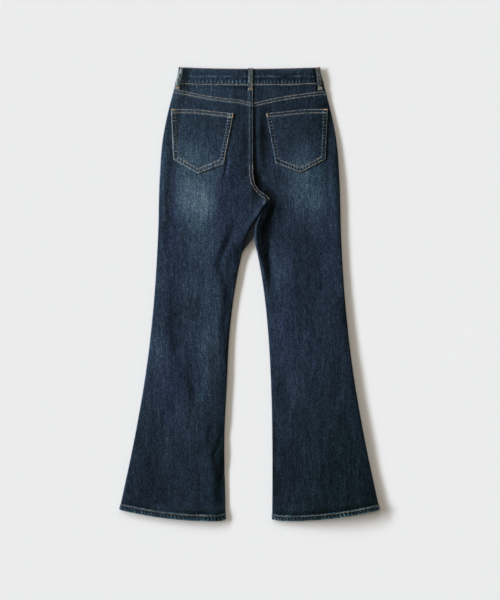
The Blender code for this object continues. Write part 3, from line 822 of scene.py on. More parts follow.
def layOut(leftEdge, rightEdge, topLine, bottomLine, edgeSteps, columns, rows):
    # grid of places: columns at the given steps in from both edges and evenly between them
    steps = np.array(edgeSteps, float)
    n = len(steps)
    shares = np.linspace(0, 1, columns + 2)[1:-1]
    down = np.array(rows, float)[:, None]
    x = np.zeros((len(down), 2 * n + columns))
    for _ in range(8):
        drop = mix(topLine(x), bottomLine(x), down)
        left, right = leftEdge(drop), rightEdge(drop)
        between = mix(left[:, n:-n] + steps[-1], right[:, n:-n] - steps[-1], shares)
        x = np.hstack([left[:, :n] + steps, between, right[:, -n:] - steps[::-1]])
    return x, mix(topLine(x), bottomLine(x), down)


def turnUnder(cloth, atTop, depthRows, radius, upper=True):
    # folds the first or last row round in seven steps and takes it back inside
    order = slice(None, None, -1) if atTop else slice(None)
    grids = {key: grid[order] for key, grid in cloth.items()}
    x, drop, z = grids["x"], grids["drop"], grids["z"]
    wayX, wayDrop = x[-1] - x[-3], drop[-1] - drop[-3]
    length = np.hypot(wayX, wayDrop)
    wayX, wayDrop = wayX / length, wayDrop / length
    inwards = -1 if upper else 1
    for turn in np.linspace(0, math.pi, 8)[1:]:
        x = np.vstack([x, grids["x"][-1] + wayX * radius * math.sin(turn)])
        drop = np.vstack([drop, grids["drop"][-1] + wayDrop * radius * math.sin(turn)])
        z = np.vstack([z, grids["z"][-1] + inwards * radius * (1 - math.cos(turn))])
    inside = slice(-2, -2 - depthRows, -1)
    made = {
        "x": np.vstack([x, grids["x"][inside]]),
        "drop": np.vstack([drop, grids["drop"][inside]]),
        "z": np.vstack([z, grids["z"][inside] + inwards * 2 * radius]),
    }
    extra = len(made["x"]) - len(grids["x"])
    for key in ("fadeAndShade", "wear"):
        made[key] = np.vstack([grids[key], np.repeat(grids[key][-1:], extra, axis=0)])
    return {key: grid[order] for key, grid in made.items()}


def clothOf(x, drop, z, fadeAndShade, wear):
    return {"x": x, "drop": drop, "z": z, "fadeAndShade": fadeAndShade, "wear": np.clip(wear, 0, 1)}


def addSheet(name, cloth, thickness, material, upper=True):
    rows, columns = cloth["x"].shape
    points = np.stack([cloth["x"], outline["length"] / 2 - cloth["drop"], cloth["z"]], axis=2)
    first = (np.arange(rows - 1)[:, None] * columns + np.arange(columns - 1)).reshape(-1)
    faces = np.stack([first, first + columns, first + columns + 1, first + 1], axis=1)
    if not upper:
        faces = faces[:, ::-1]
    mesh = bpy.data.meshes.new(name)
    mesh.from_pydata((points.reshape(-1, 3) * mm).tolist(), [], faces.tolist())
    shades = {"fadeAndShade": cloth["fadeAndShade"], "wear": cloth["wear"],
              "violet": spotSum(cloth["x"], cloth["drop"], violetSpots) if upper else 0 * cloth["x"]}
    for key, values in shades.items():
        mesh.attributes.new(key, "FLOAT", "POINT").data.foreach_set("value", values.reshape(-1))
    sheet = bpy.data.objects.new(name, mesh)
    bpy.context.collection.objects.link(sheet)
    sheet.data.materials.append(materials[material])
    sheet.data.materials.append(materials["inside"])
    wall = sheet.modifiers.new("wall", "SOLIDIFY")
    wall.thickness = thickness * mm
    wall.offset = -1
    wall.material_offset = 1
    bpy.ops.object.select_all(action="DESELECT")
    bpy.context.view_layer.objects.active = sheet
    sheet.select_set(True)
    bpy.ops.object.modifier_apply(modifier="wall")
    bpy.ops.object.shade_smooth_by_angle(angle=math.radians(55))
    sheet.select_set(False)
    return sheet


def roundSteps(radius, turns):
    # distances in from an edge, at these degrees round its rounding
    return [radius * (1 - math.cos(math.radians(turn))) for turn in turns]


edgeSteps = roundSteps(lie["edgeRadius"], range(0, 91, 15)) + [4.2, 6, 8, 10, 12.5, 15]
cornerTurns = (0, 25, 50, 70, 90)

panel = {
    "columns": 84,
    # its rows' shares of the way down, closer at the yoke's seam and over the hem
    "rows": [*np.linspace(0, 0.015, 16, endpoint=False), *np.linspace(0.015, 0.980, 362, endpoint=False),
             *np.linspace(0.980, 1, 24)],
    "underYoke": 3.0,        # the panel goes on this far above the yoke's seam line
    "underLap": 9.0,         # the right panel goes on this far under the left one
    "lapEase": 4.0,          # the left one climbs on to it over this length
    "lapEnd": 14.0,          # and the lap runs out from this far above the fork
    "hemTurnRows": 14,
}
seams = {
    "rows": (2.1, 9.1),      # the seat seam's stitches, from its lapped edge
    "groove": 0.28,          # depth that stitches pull into the cloth, and its half width
    "grooveWidth": 0.8,
    "pitch": 8.5,            # of the puckers beside them, and their height
    "ripple": 0.16,
    "yokeLap": 4.0,          # the yoke's folded edge lies this far below its seam line
    "lapShade": 0.55,        # dark line beside a lapped edge
}
hem = {
    "row": {-1: 12.0, 1: 10.2},          # stitches, above each leg's lower edge
    "ropePitch": 8.0,
    "ropeHeight": 0.32,
    "turnHeight": 0.25,                  # of the turned-up cloth
    "tickWear": {-1: 0.95, 1: 0.75},
    "tickShade": {-1: 0.44, 1: 0.28},
    "edgeWear": {-1: 2.0, 1: 1.5},       # width of the pale line at the lower edge
}
seatWear = [
    # amount, distance from the seat seam's lapped edge, reach
    (0.42, 0.9, 1.1), (0.20, 5.5, 3.0), (0.26, 10.5, 1.4),
]


def seatOnly(drop, beyond=0):
    # 1 down the seat seam, and nothing below the fork
    return 1 - ramp(drop, outline["fork"] - panel["lapEnd"], outline["fork"] + beyond)


def overRight(side, x, drop):
    # how much the left half stands on the right half's edge along the seat seam
    if side > 0:
        return 0.0
    edge = innerX(side, drop) - panel["underLap"]
    return ramp(x, edge - panel["lapEase"], edge) * seatOnly(drop, 16)


def groove(away, width=seams["grooveWidth"]):
    return seams["groove"] * hump(away, width)


def seatRipple(x, drop, away):
    return seams["ripple"] * pucker(drop + 0.6 * x, 9.0, 1.3) * hump(away - 5.5, 5.5)


def lapShade(inner):
    return seams["lapShade"] * hump(inner - 0.6, 1.5)


def panelCloth(side, x, drop):
    outer, inner, onLeg = lieOf(side, x, drop)
    seat = 1 - onLeg
    lower, base = backHeight(side, x, drop), seamBase(side, x, drop)
    z, wear, fadeAndShade = lower, np.zeros(x.shape), fadeAndShadeAt(x, drop)
    if side < 0:
        underYoke = 1 - ramp(drop, yokeSeam(x) + 4, yokeSeam(x) + 8)
        z = lower + lie["lap"] * overRight(side, x, drop) * (1 + underYoke)
        z = z + seat * (seatRipple(x, drop, inner) - sum(groove(inner - row) for row in seams["rows"]))
        patchy = 0.7 + 0.5 * softNoise(x, drop, (30, 6), 42)
        worn = sum(amount * hump(inner - place, reach) for amount, place, reach in seatWear)
        wear += seat * patchy * worn
        wear += 0.8 * np.exp(-((x - 34) / 4)**2 - ((drop - 311) / 5)**2)     # where the inseams meet
        z = mix(roundInto(z, lower, inner, lie["lapRadius"]), rollInto(z, base, inner), onLeg)
    else:
        z = mix(z, rollInto(z, base, inner), onLeg)
        # painted shade beside the left half's lapped edge
        fadeAndShade = fadeAndShade - seat * lapShade(inner)
    z = rollInto(z, base, outer)

    # the yoke's seam presses a line of small puckers into the cloth below it
    belowYoke = drop - yokeSeam(x) - seams["yokeLap"]
    ripple = pucker(x, seams["pitch"], 0.7 + side)
    z = z + seams["ripple"] * ripple * hump(belowYoke, 7)
    wear += (0.30 + 0.25 * ripple) * hump(belowYoke - 0.6, 1.2)

    # turned-up hem, roped below its row of stitches
    aboveHem = hemLine(x) - drop
    row = hem["row"][side]
    rope = pucker(x + 0.5 * aboveHem, hem["ropePitch"], 2.2 + side)
    patchy = 0.75 + 0.35 * softNoise(x, drop, (9, 60), 41)
    ticks = np.clip(0.30 + hem["tickWear"][side] * rope, 0, 1)
    z = z + hem["ropeHeight"] * rope * hump(aboveHem - 0.45 * row, 4.5)
    z = z + hem["turnHeight"] * ramp(aboveHem, row + 4.3, row + 1.8) - groove(aboveHem - row, 0.9)
    wear += 1.05 * patchy * hump(aboveHem - row - 2.0, 1.25)
    wear += ticks * patchy * hump(aboveHem - 0.48 * row, 3.4, power=4)
    wear += 1.1 * patchy * hump(aboveHem - 0.6, hem["edgeWear"][side])
    fadeAndShade = fadeAndShade - hem["tickShade"][side] * hump(aboveHem - 0.5 * row, 3.4) * np.clip(0.3 - rope, 0, 1)
    fadeAndShade = fadeAndShade - 0.10 * hump(aboveHem - row - 6.5, 4)
    return clothOf(x, drop, z, fadeAndShade, wear)


def foldRadius(fromSeam):
    # a fold flattens out where a seam closes its end
    return lie["foldRadius"] * mix(0.3, 1, ramp(fromSeam, 0, 6))


def hemRadius(side, cloth):
    outer, inner, _ = lieOf(side, cloth["x"][-1], cloth["drop"][-1])
    return foldRadius(np.minimum(outer, inner))


def makeBackPanel(side):
    def innerEdge(drop):
        return innerX(side, drop) - (panel["underLap"] * seatOnly(drop) if side > 0 else 0)

    x, drop = layOut(*leftToRight(side, lambda drop: sideX(side, drop), innerEdge),
                     lambda x: yokeSeam(x) - panel["underYoke"], lambda x: hemLine(x) - lie["foldRadius"],
                     edgeSteps, panel["columns"], panel["rows"])
    cloth = panelCloth(side, x, drop)
    cloth = turnUnder(cloth, False, panel["hemTurnRows"], hemRadius(side, cloth))
    return addSheet("backPanel" + sideNames[side], cloth, lie["wall"], "denim")


backPanels = {side: makeBackPanel(side) for side in sideNames}
print("back panels made")


yoke = {
    "columns": 110,
    "rows": 34,
    "turnFrom": 0.93,        # share of its depth where its rows close up towards the folded edge
    "underBand": 11.0,       # its top goes this far under the waistband
    "stitchRows": (-4.7, 1.3),
    "tickLine": -1.6,        # worn ticks between the two rows
    "tickPitch": 5.6,
    "tickWear": {-1: 1.0, 1: 0.5},
    "gather": 0.22,          # small gathers that hang from the waistband
    "gatherPitch": 9.5,
}
sideStrip = {"shade": 0.34, "edge": (5, 9)}      # dark strip between the left belt loop and the side


def stripShade(x, outer):
    return sideStrip["shade"] * (x < 0) * (1 - ramp(outer, *sideStrip["edge"]))


def yokeCloth(side, x, drop):
    outer, inner, _ = lieOf(side, x, drop)
    lower = backHeight(side, x, drop)
    below = drop - yokeSeam(x)
    belowBand = drop - bandLine(x)
    onPanel = ramp(below, -8, -3.5)
    ripple = pucker(x, seams["pitch"], 4.1 + side)
    tick = pucker(x, yoke["tickPitch"], 2.1 - side)
    fadeAndShade = fadeAndShadeAt(x, drop) - 0.25 * np.clip(-tick, 0, 1) * hump(below - yoke["tickLine"], 2.2)
    fadeAndShade = fadeAndShade - stripShade(x, outer) * (1 - ramp(drop, 50, 58))
    wear = (0.78 + 0.25 * ripple) * hump(below - 3.5, 1.2)
    wear += (0.50 + 0.55 * tick) * hump(below - yoke["tickLine"], 2.0) * yoke["tickWear"][side]
    wear += (0.60 + 0.4 * softNoise(x, drop, (16, 60), 43)) * hump(belowBand - 0.8, 1.4)
    z = lower + lie["lap"] * onPanel
    if side < 0:
        z = z + lie["lap"] * overRight(side, x, drop) * (1 + 0.5 * onPanel)
        z = roundInto(z - sum(groove(inner - row) for row in seams["rows"]), lower, inner, lie["lapRadius"])
        wear += 0.32 * hump(inner - 0.8, 1.1)
        # painted shadow under the waistband's lower edge, deeper towards the centre
        fadeAndShade = fadeAndShade - (0.16 * ramp(x, -60, -40) + 0.05) * hump(belowBand - 3, 3)
    else:
        # painted shadow under the waistband's lower edge, and painted shade beside the left yoke's lapped
        # edge
        fadeAndShade = fadeAndShade - 0.05 * hump(belowBand - 3, 3) - lapShade(inner)
    z = z + seams["ripple"] * ripple * hump(below + 0.5, 5)
    z = z - sum(groove(below - row) for row in yoke["stitchRows"])
    z = z + yoke["gather"] * pucker(x, yoke["gatherPitch"], 3.0) * hump(np.maximum(belowBand, 0), 9)
    z = roundInto(z, lower, seams["yokeLap"] - below, lie["lapRadius"])
    z = rollInto(z, lie["seamHeight"], outer)
    return clothOf(x, drop, z, fadeAndShade, wear)


def makeYoke(side):
    def innerEdge(drop):
        return innerX(side, drop) - (panel["underLap"] if side > 0 else 0)

    turn = (1 - yoke["turnFrom"]) * np.cos(np.linspace(0, math.pi / 2, 9)[1:])
    rows = np.concatenate([np.linspace(0, yoke["turnFrom"], yoke["rows"]), 1 - turn])
    x, drop = layOut(*leftToRight(side, lambda drop: sideX(side, drop), innerEdge),
                     lambda x: bandLine(x) - yoke["underBand"], lambda x: yokeSeam(x) + seams["yokeLap"],
                     edgeSteps, yoke["columns"], rows)
    return addSheet("backYoke" + sideNames[side], yokeCloth(side, x, drop), lie["wall"], "denim")


yokes = {side: makeYoke(side) for side in sideNames}
print("yokes made")


band = {
    "columns": 250,
    "rows": [*np.linspace(0, 0.975, 34), 0.982, 0.989, 0.995, 0.999, 1.0],       # closer at the lower edge
    "turnRows": 30,
    "gather": 0.42,
    "channelDrop": 19.5,     # line across the band, where the elastic is held
    "channelDepth": 0.35,
    "stitchIn": 2.1,         # rows of stitches, in from the upper and lower edges
    "finePitch": 11.0,
    "tickPitch": 8.2,
    "tickAbove": 7.6,        # worn ticks, above the lower edge
    "tickReach": 3.4,
    "air": 0.9,              # between back and front, in the middle
    "sideAir": {-1: 1.0, 1: -0.25},      # and share of the side seams' air at each side
}


def bandCloth(x, drop):
    half = smoothTable(sideSeam, drop)
    outer = half - np.abs(x)
    above, height = bandLine(x) - drop, drop - waistTop(x)
    sideAir = np.where(x < 0, band["sideAir"][-1], band["sideAir"][1]) * lie["edgeAir"]
    air = band["air"] * (1 - (x / half)**2) + sideAir * (1 - ramp(outer, 4, 30))
    under = lie["bandCloth"] + lie["layerGap"] + air

    fine = pucker(x, band["finePitch"], 0.4) * (0.6 + 0.4 * softNoise(x, drop, (24, 60), 11))
    strength = np.clip(0.82 + 0.6 * softNoise(x, drop, (17, 60), 13), 0.3, 1)
    tick = pucker(x, band["tickPitch"], 5.2) * strength
    low = hump(above - band["tickAbove"], band["tickReach"])
    share = height / (bandLine(x) - waistTop(x))
    z = under + lie["bandCloth"] + 0.3
    z = z + band["gather"] * (0.55 * fine * (0.35 + share) + 0.8 * tick * low)
    z = z - band["channelDepth"] * hump(drop - band["channelDrop"], 1.6)
    z = z + 0.12 * softNoise(x, drop, (15, 20), 12)
    z = z - groove(above - band["stitchIn"]) - groove(height - band["stitchIn"])
    z = rollInto(roundInto(z, under + 1.9, above, 1.0), lie["seamHeight"] + 0.8, outer)

    streaks = np.clip(0.55 + 0.9 * softNoise(x, drop, (9, 1.8), 14), 0, 1)
    wear = np.clip(0.30 + 0.85 * tick, 0, 1) * low * (1 - 0.28 * (x > 0))
    wear += 0.65 * streaks * hump(drop - band["channelDrop"] - 1.2, 2.2)
    wear += 1.0 * strength * hump(above - 0.2, 1.2)
    # lighter near the top edge, and painted shade in the hollows of the gathers above the lower edge
    fadeAndShade = fadeAndShadeAt(x, drop) + 0.05 * hump(height, 8) - (0.20 + 0.12 * (x < 0)) * low * np.clip(-tick, 0, 1)
    fadeAndShade = fadeAndShade - stripShade(x, outer) * ramp(drop, 2, 12)
    return clothOf(x, drop, z, fadeAndShade, wear)


def layBand(topLine, bottomLine, columns, rows):
    return layOut(lambda drop: sideX(-1, drop), lambda drop: sideX(1, drop), topLine, bottomLine,
                  edgeSteps, columns, rows)


def makeBackBand():
    x, drop = layBand(lambda x: waistTop(x) + lie["foldRadius"], bandLine, band["columns"], band["rows"])
    cloth = bandCloth(x, drop)
    outer = smoothTable(sideSeam, cloth["drop"][0]) - np.abs(cloth["x"][0])
    cloth = turnUnder(cloth, True, band["turnRows"], foldRadius(outer))
    return addSheet("waistbandBack", cloth, lie["wall"], "bandDenim")


waistbandBack = makeBackBand()
print("back waistband made")

front = {
    # the pieces that lie on the floor
    "columns": 44,
    "rows": [*np.linspace(0, 0.975, 200), *np.linspace(0.976, 1, 26)],
    "hemTurnRows": 4,
    "bandColumns": 110,
    "bandRows": 40,
    "underBand": 8.0,        # the panels go on this far under the waistband
    "curl": 34.0,            # length over which a lifted edge comes down to the floor
    "seamRows": (2.1, 9.0),
    "bandRow": 2.4,
    "groove": 0.7,           # deep enough for the stitches to stay off the floor
    "grooveWidth": 1.3,
    "bandRipple": 0.15,
}


def frontGroove(away):
    return front["groove"] * hump(away, front["grooveWidth"])


def frontHeight(side, x, drop):
    # outer face of the front layer, which looks down
    outer, inner, onLeg = lieOf(side, x, drop, front=True)
    lifted = seamBase(side, x, drop) - lie["seamHeight"]
    rolled = np.maximum(1 - roundEdge(outer, lie["edgeRadius"]),
                        onLeg * (1 - roundEdge(inner, lie["edgeRadius"])))
    wave = 0.05 + 0.12 * (1 + softNoise(x, drop, (60, 90), 31)) * ramp(np.minimum(outer, inner), 4, 30)
    z = lifted * (1 - ramp(outer, 0, front["curl"])) + forkLift["seamShare"] * liftAt(drop, inner)
    return z + lie["seamHeight"] * rolled + wave


def frontCloth(side, x, drop):
    _, inner, onLeg = lieOf(side, x, drop, front=True)
    seat = 1 - onLeg
    z = frontHeight(side, x, drop)
    wear = np.zeros(x.shape)
    if side < 0:
        lapEnd = panel["underLap"] + panel["lapEase"]
        z = z + lie["lap"] * seat * (1 - ramp(inner, panel["underLap"], lapEnd))
    else:
        wear += seat * (0.5 * hump(inner - 0.8, 1.3) + 0.3 * hump(inner - 11, 1.5))
        z = z + seat * sum(frontGroove(inner - row) for row in front["seamRows"])
    aboveHem = hemLine(x) - drop
    rope = pucker(x + 0.5 * aboveHem, hem["ropePitch"], 1.2 + side)
    z = z + hem["turnHeight"] * (1 - rope) * hump(aboveHem - 4.5, 4.5)
    z = z + frontGroove(aboveHem - hem["row"][side])
    wear += 0.6 * hump(aboveHem - 12.4, 1.5) + np.clip(0.25 + 0.5 * rope, 0, 1) * hump(aboveHem - 5.0, 3.2)
    fadeAndShade = fadeAndShadeAt(-x, drop) + 2 * shadeAcross * x     # the back's patches and painted shade, the other way round
    return clothOf(x, drop, z, fadeAndShade, wear)


def makeFrontPanel(side):
    def innerEdge(drop):
        return innerX(side, drop, front=True) + (panel["underLap"] * seatOnly(drop) if side < 0 else 0)

    x, drop = layOut(*leftToRight(side, lambda drop: sideX(side, drop), innerEdge),
                     lambda x: outline["bandHeight"] + frontDip(x) - front["underBand"],
                     lambda x: hemLine(x) - lie["foldRadius"], edgeSteps, front["columns"], front["rows"])
    cloth = frontCloth(side, x, drop)
    cloth = turnUnder(cloth, False, front["hemTurnRows"], hemRadius(side, cloth), upper=False)
    return addSheet("frontPanel" + sideNames[side], cloth, lie["wall"], "denim", upper=False)


def makeFrontBand():
    x, drop = layBand(lambda x: frontDip(x) + lie["foldRadius"],
                      lambda x: outline["bandHeight"] + frontDip(x),
                      front["bandColumns"], np.linspace(0, 1, front["bandRows"]))
    outer = smoothTable(sideSeam, drop) - np.abs(x)
    below = drop - outline["bandHeight"] - frontDip(x)
    z = lie["seamHeight"] * (1 - roundEdge(outer, lie["edgeRadius"]))
    z = z + front["bandRipple"] * (1 + pucker(x, band["finePitch"], 1.4))
    for row in (-front["bandRow"], front["bandRow"] - outline["bandHeight"]):
        z = z + frontGroove(below - row)
    wear = np.clip(0.3 + 0.5 * pucker(x, band["tickPitch"], 2.2), 0, 1) * hump(below + 8, 6)
    cloth = clothOf(x, drop, z, fadeAndShadeAt(x, drop), wear)
    cloth = turnUnder(cloth, True, front["bandRows"] - 2, foldRadius(outer[0]), upper=False)
    return addSheet("waistbandFront", cloth, lie["wall"], "bandDenim", upper=False)


frontPanels = {side: makeFrontPanel(side) for side in sideNames}
waistbandFront = makeFrontBand()
print("front made")


pocket = {
    "topEdge": [(37.0, 105.3), (75, 101.4), (123, 96.2), (179.5, 95.3)],     # distance out, drop
    "outerEdge": [(95.3, 180.4), (211, 175.2)],                              # drop, distance out
    "innerEdge": {-1: [(105.3, 36.2), (220, 58.8)], 1: [(105.3, 37.8), (220, 60.0)]},
    "tip": {-1: (118.6, 244.4), 1: (117.8, 242.0)},
    "outerFall": 0.5545,     # slopes of the two edges that meet at the tip
    "innerFall": 0.358,
    "depth": 128.0,
    "columns": 100,
    "rows": 104,
    "wall": 0.7,
    "hem": 11.0,
    "hemExtra": 0.5,
    "turned": 10.5,          # cloth turned under along the other edges
    "turnedExtra": 0.4,
    "fullness": 0.5,
    "edgeRadius": 0.85,
    "stitchRows": (1.5, 9.2),
    "tickLine": 5.8,         # worn ticks between the two rows
    "hemRows": (1.6, 8.5),
    "hemTickLine": 4.9,
    "hemGroove": 0.2,
    "pitch": 7.4,            # of the puckers between the rows of stitches, and their height
    "ripple": 0.5,
    "hemPitch": 5.2,
    "hemRipple": 0.18,
    "worn": {-1: 1.0, 1: 0.62},
}


def lineAt(ends, at):
    # value on the straight line between two (at, value) ends
    (a, b), (c, d) = ends
    return b + (at - a) * (d - b) / (c - a)


def pocketOuter(drop):
    return lineAt(pocket["outerEdge"], drop)


def pocketInner(side, drop):
    return lineAt(pocket["innerEdge"][side], drop)


def pocketTop(x):
    return smoothTable(pocket["topEdge"], np.abs(x))


def pocketBottom(side, x):
    tipX, tipDrop = pocket["tip"][side]
    away = np.abs(x) - tipX
    return tipDrop - np.where(away > 0, pocket["outerFall"] * away, -pocket["innerFall"] * away)


def pocketCloth(side, x, drop):
    # distances in from each edge
    out = np.abs(x)
    fromTop = drop - pocketTop(x)
    tipX, tipDrop = pocket["tip"][side]
    fromSide = np.minimum(pocketOuter(drop) - out, (out - pocketInner(side, drop)) * 0.98)
    fromBottom = np.minimum((tipDrop - pocket["outerFall"] * (out - tipX) - drop) * 0.875,
                            (tipDrop + pocket["innerFall"] * (out - tipX) - drop) * 0.942)
    inside = np.minimum(fromSide, fromBottom)

    along = np.where(fromBottom < fromSide, 1.08 * x, drop)
    ripple = pucker(along, pocket["pitch"], 0.9 * side + 2) * ramp(np.abs(fromBottom - fromSide), 0, 4)
    between = hump(inside - pocket["tickLine"], 2.7)
    tick = pucker(x, pocket["hemPitch"], 1.7 * side)
    betweenHem = hump(fromTop - pocket["hemTickLine"], 2.4) * ramp(inside, 1, 5)

    lower = backHeight(side, x, drop)
    z = lower + lie["lap"]
    z = z + pocket["hemExtra"] * (1 - ramp(fromTop, pocket["hem"] - 0.7, pocket["hem"] + 0.7))
    z = z + pocket["turnedExtra"] * (1 - ramp(inside, pocket["turned"] - 1.2, pocket["turned"] + 1.2))
    z = z + pocket["fullness"] * ramp(inside, 10, 40) * ramp(fromTop, 4, 30)
    z = z + pocket["ripple"] * ripple * between + pocket["hemRipple"] * tick * betweenHem
    z = z - sum(groove(inside - row) for row in pocket["stitchRows"])
    for row in pocket["hemRows"]:
        z = z - pocket["hemGroove"] * hump(fromTop - row, seams["grooveWidth"])
    z = roundInto(z, lower + 0.35, fromTop, pocket["edgeRadius"])
    z = roundInto(z, lower, inside, pocket["edgeRadius"])

    wear = 0.95 * hump(inside - 0.4, 1.1) + 0.55 * hump(fromTop - 0.3, 0.9)
    wear += np.clip(0.30 + 0.80 * ripple, 0, 1) * between
    wear += np.clip(0.32 + 0.45 * ripple, 0, 1) * hump(inside - 11.2, 2.0)
    wear += np.clip(0.36 + 0.8 * tick, 0, 1) * betweenHem
    wear = wear * pocket["worn"][side] * (0.9 + 0.3 * softNoise(x, drop, (7, 7), 44))
    wear += 0.66 * hump(fromTop - 10.7, 1.1) * ramp(inside, 0, 3)
    # painted shade in the hollows of the puckers between the rows of stitches and along the top
    fadeAndShade = fadeAndShadeAt(x, drop) - 0.65 * np.clip(-ripple, 0, 1) * between
    fadeAndShade = fadeAndShade - 0.2 * np.clip(-tick, 0, 1) * betweenHem
    return clothOf(x, drop, z, fadeAndShade, wear)


def makePocket(side):
    steps = roundSteps(pocket["edgeRadius"], cornerTurns) + [1.6, 2.4]
    ends = np.array(steps) / pocket["depth"]
    rows = np.concatenate([ends, np.linspace(ends[-1], 1 - ends[-1], pocket["rows"])[1:-1], 1 - ends[::-1]])
    x, drop = layOut(*leftToRight(side, lambda drop: side * pocketOuter(drop),
                                  lambda drop: side * pocketInner(side, drop)),
                     pocketTop, lambda x: pocketBottom(side, x), steps, pocket["columns"], rows)
    cloth = pocketCloth(side, x, drop)
    return addSheet("backPocket" + sideNames[side], cloth, pocket["wall"], "pocketDenim")


pockets = {side: makePocket(side) for side in sideNames}
print("pockets made")


beltLoops = {
    # the middle of each end, as x and drop, and how much more worn the loop is than the centre one
    "left": {"top": (-156.8, 0.6), "end": (-166.4, 50.6), "worn": 0.14},
    "centre": {"top": (2.6, 2.6), "end": (2.3, 52.6), "worn": 0},
    "right": {"top": (156.6, 0.6), "end": (163.2, 51.2), "worn": -0.32},
}
loopCut = {
    "width": 10.6,
    "rows": 52,
    "edgeRadius": 0.8,
    "cloth": 1.4,            # height of the folded strip, and its wall
    "wall": 0.7,
    "gap": 0.15,
    "arch": 0.6,             # how far it stands off the waistband
    "endRadius": 0.75,
    "endTurnRows": 5,
    "grooveIn": 2.0,         # grooves of its rows of stitches, in from its edges
    "groove": 0.22,
    "grooveWidth": 0.7,
    "rowIn": 2.9,            # and the rows themselves
    "uneven": 0.12,
    "offBand": (39.5, 47),   # it steps down from the waistband between these drops
}


def underLoop(x, drop):
    # the waistband and then the yoke, as a stiff strip rides over them
    on = bandCloth(x, np.clip(drop, waistTop(x) + 3, 38))["z"]
    left, right = (yokeCloth(side, x, np.maximum(drop, 44))["z"] for side in (-1, 1))
    return mix(on, np.where(x < 0, left, right), ramp(drop, *loopCut["offBand"]))


def makeLoop(name, row):
    length, way = lineFrom(row["top"], row["end"])
    half = loopCut["width"] / 2
    steps = np.array(roundSteps(loopCut["edgeRadius"], cornerTurns))
    across = np.concatenate([steps - half, np.linspace(1.2 - half, half - 1.2, 9), half - steps[::-1]])
    along = np.linspace(0, length, loopCut["rows"])[:, None]
    x, drop = placeOn(row["top"], way, along, across)
    inside = half - np.abs(across) + 0 * along
    toEnd = length - along
    arch = np.sin(math.pi * np.clip(along / length * 1.06, 0, 1))**1.3
    z = underLoop(x, drop) + loopCut["gap"] + loopCut["cloth"] + loopCut["arch"] * arch
    z = z - loopCut["groove"] * hump(inside - loopCut["grooveIn"], loopCut["grooveWidth"])
    z = z + loopCut["uneven"] * softNoise(x, drop, (4, 4), 21)
    z = roundInto(z, z - 0.8, inside, loopCut["edgeRadius"])
    wear = 0.66 + row["worn"] + 0.75 * softNoise(x, drop, (3.2, 5), 22) - 0.6 * (1 - ramp(inside, 0.3, 1.2))
    furrow = hump(inside - 3.0, 0.9)
    wear = wear - 0.35 * furrow + 0.9 * hump(toEnd - 0.9, 1.1) + 0.5 * hump(toEnd - 0.6, 0.9)
    fadeAndShade = 0.28 + shadeAcross * x - 0.25 * furrow + 0.6 * hump(toEnd - 0.7, 1.0)
    cloth = clothOf(x, drop, z, fadeAndShade, wear)
    for atTop in (False, True):
        cloth = turnUnder(cloth, atTop, loopCut["endTurnRows"], loopCut["endRadius"])
    return addSheet("beltLoop" + name.capitalize(), cloth, loopCut["wall"], "loopDenim")


loopPieces = {name: makeLoop(name, row) for name, row in beltLoops.items()}
print("belt loops made")


stitch = {
    "pitch": 3.3,
    "length": 2.7,
    "radius": 0.42,
    "flatness": 0.85,
    "above": 0.10,           # height of its middle above the cloth
    "halfReach": 0.42,       # share of its length from its middle to where it meets the cloth
    "strayAlong": 0.06,      # how far each strays from its place along the row, as a share of the pitch
    "straySideways": 0.12,
    "lengths": (0.92, 1.04),
    "radii": (0.78, 1.12),
}
tack = {
    "width": 2.2,
    "start": 0.35,
    "spacing": 0.72,
    "slant": 0.3,
    "overLength": 1.15,
    "radius": 0.36,
}
threads = []


def stitchShape():
    bpy.ops.mesh.primitive_uv_sphere_add(segments=6, ring_count=5, radius=1, location=(0, 0, 0),
                                         rotation=(0, math.radians(90), 0))
    ball = bpy.context.object
    bpy.ops.object.transform_apply(location=False, rotation=True, scale=False)
    points = np.array([vertex.co[:] for vertex in ball.data.vertices])
    faces = [list(face.vertices) for face in ball.data.polygons]
    bpy.ops.object.delete()
    return points, faces


stitchPoints, stitchFaces = stitchShape()


def surfaceOf(piece):
    bpy.context.view_layer.update()
    return BVHTree.FromObject(piece, bpy.context.evaluated_depsgraph_get())


def onto(surface, x, drop, fromAbove=True):
    start = Vector((x * mm, (outline["length"] / 2 - drop) * mm, 0.1 if fromAbove else -0.1))
    place, normal, _, _ = surface.ray_cast(start, Vector((0, 0, -1 if fromAbove else 1)))
    return place, normal


def sewRow(surface, path, pitch=None, length=None, radius=None, fromAbove=True, seed=0):
    # stitches down a path of (x, drop) places, dropped on to the cloth
    pitch, length, radius = pitch or stitch["pitch"], length or stitch["length"], radius or stitch["radius"]
    line = smoothPath(path, 1.0)
    at = lengthsOf(line)
    count = max(1, int(at[-1] / pitch))
    random = np.random.default_rng(seed)
    rows = []
    for middle in (np.arange(count) + 0.5) * at[-1] / count:
        middle += random.uniform(-stitch["strayAlong"], stitch["strayAlong"]) * pitch
        sideways = random.uniform(-stitch["straySideways"], stitch["straySideways"])
        reach = length * random.uniform(*stitch["lengths"])
        ends = []
        for end in (middle - reach * stitch["halfReach"], middle + reach * stitch["halfReach"]):
            x, drop = (np.interp(end, at, line[:, column]) + sideways for column in (0, 1))
            ends.append(onto(surface, x, drop, fromAbove))
        if any(place is None for place, _ in ends):
            continue
        (first, up), (last, upToo) = ends
        thickness = radius * random.uniform(*stitch["radii"])
        rows.append((first, last, (up + upToo).normalized(), reach * mm / 2, thickness * mm))
    return rows


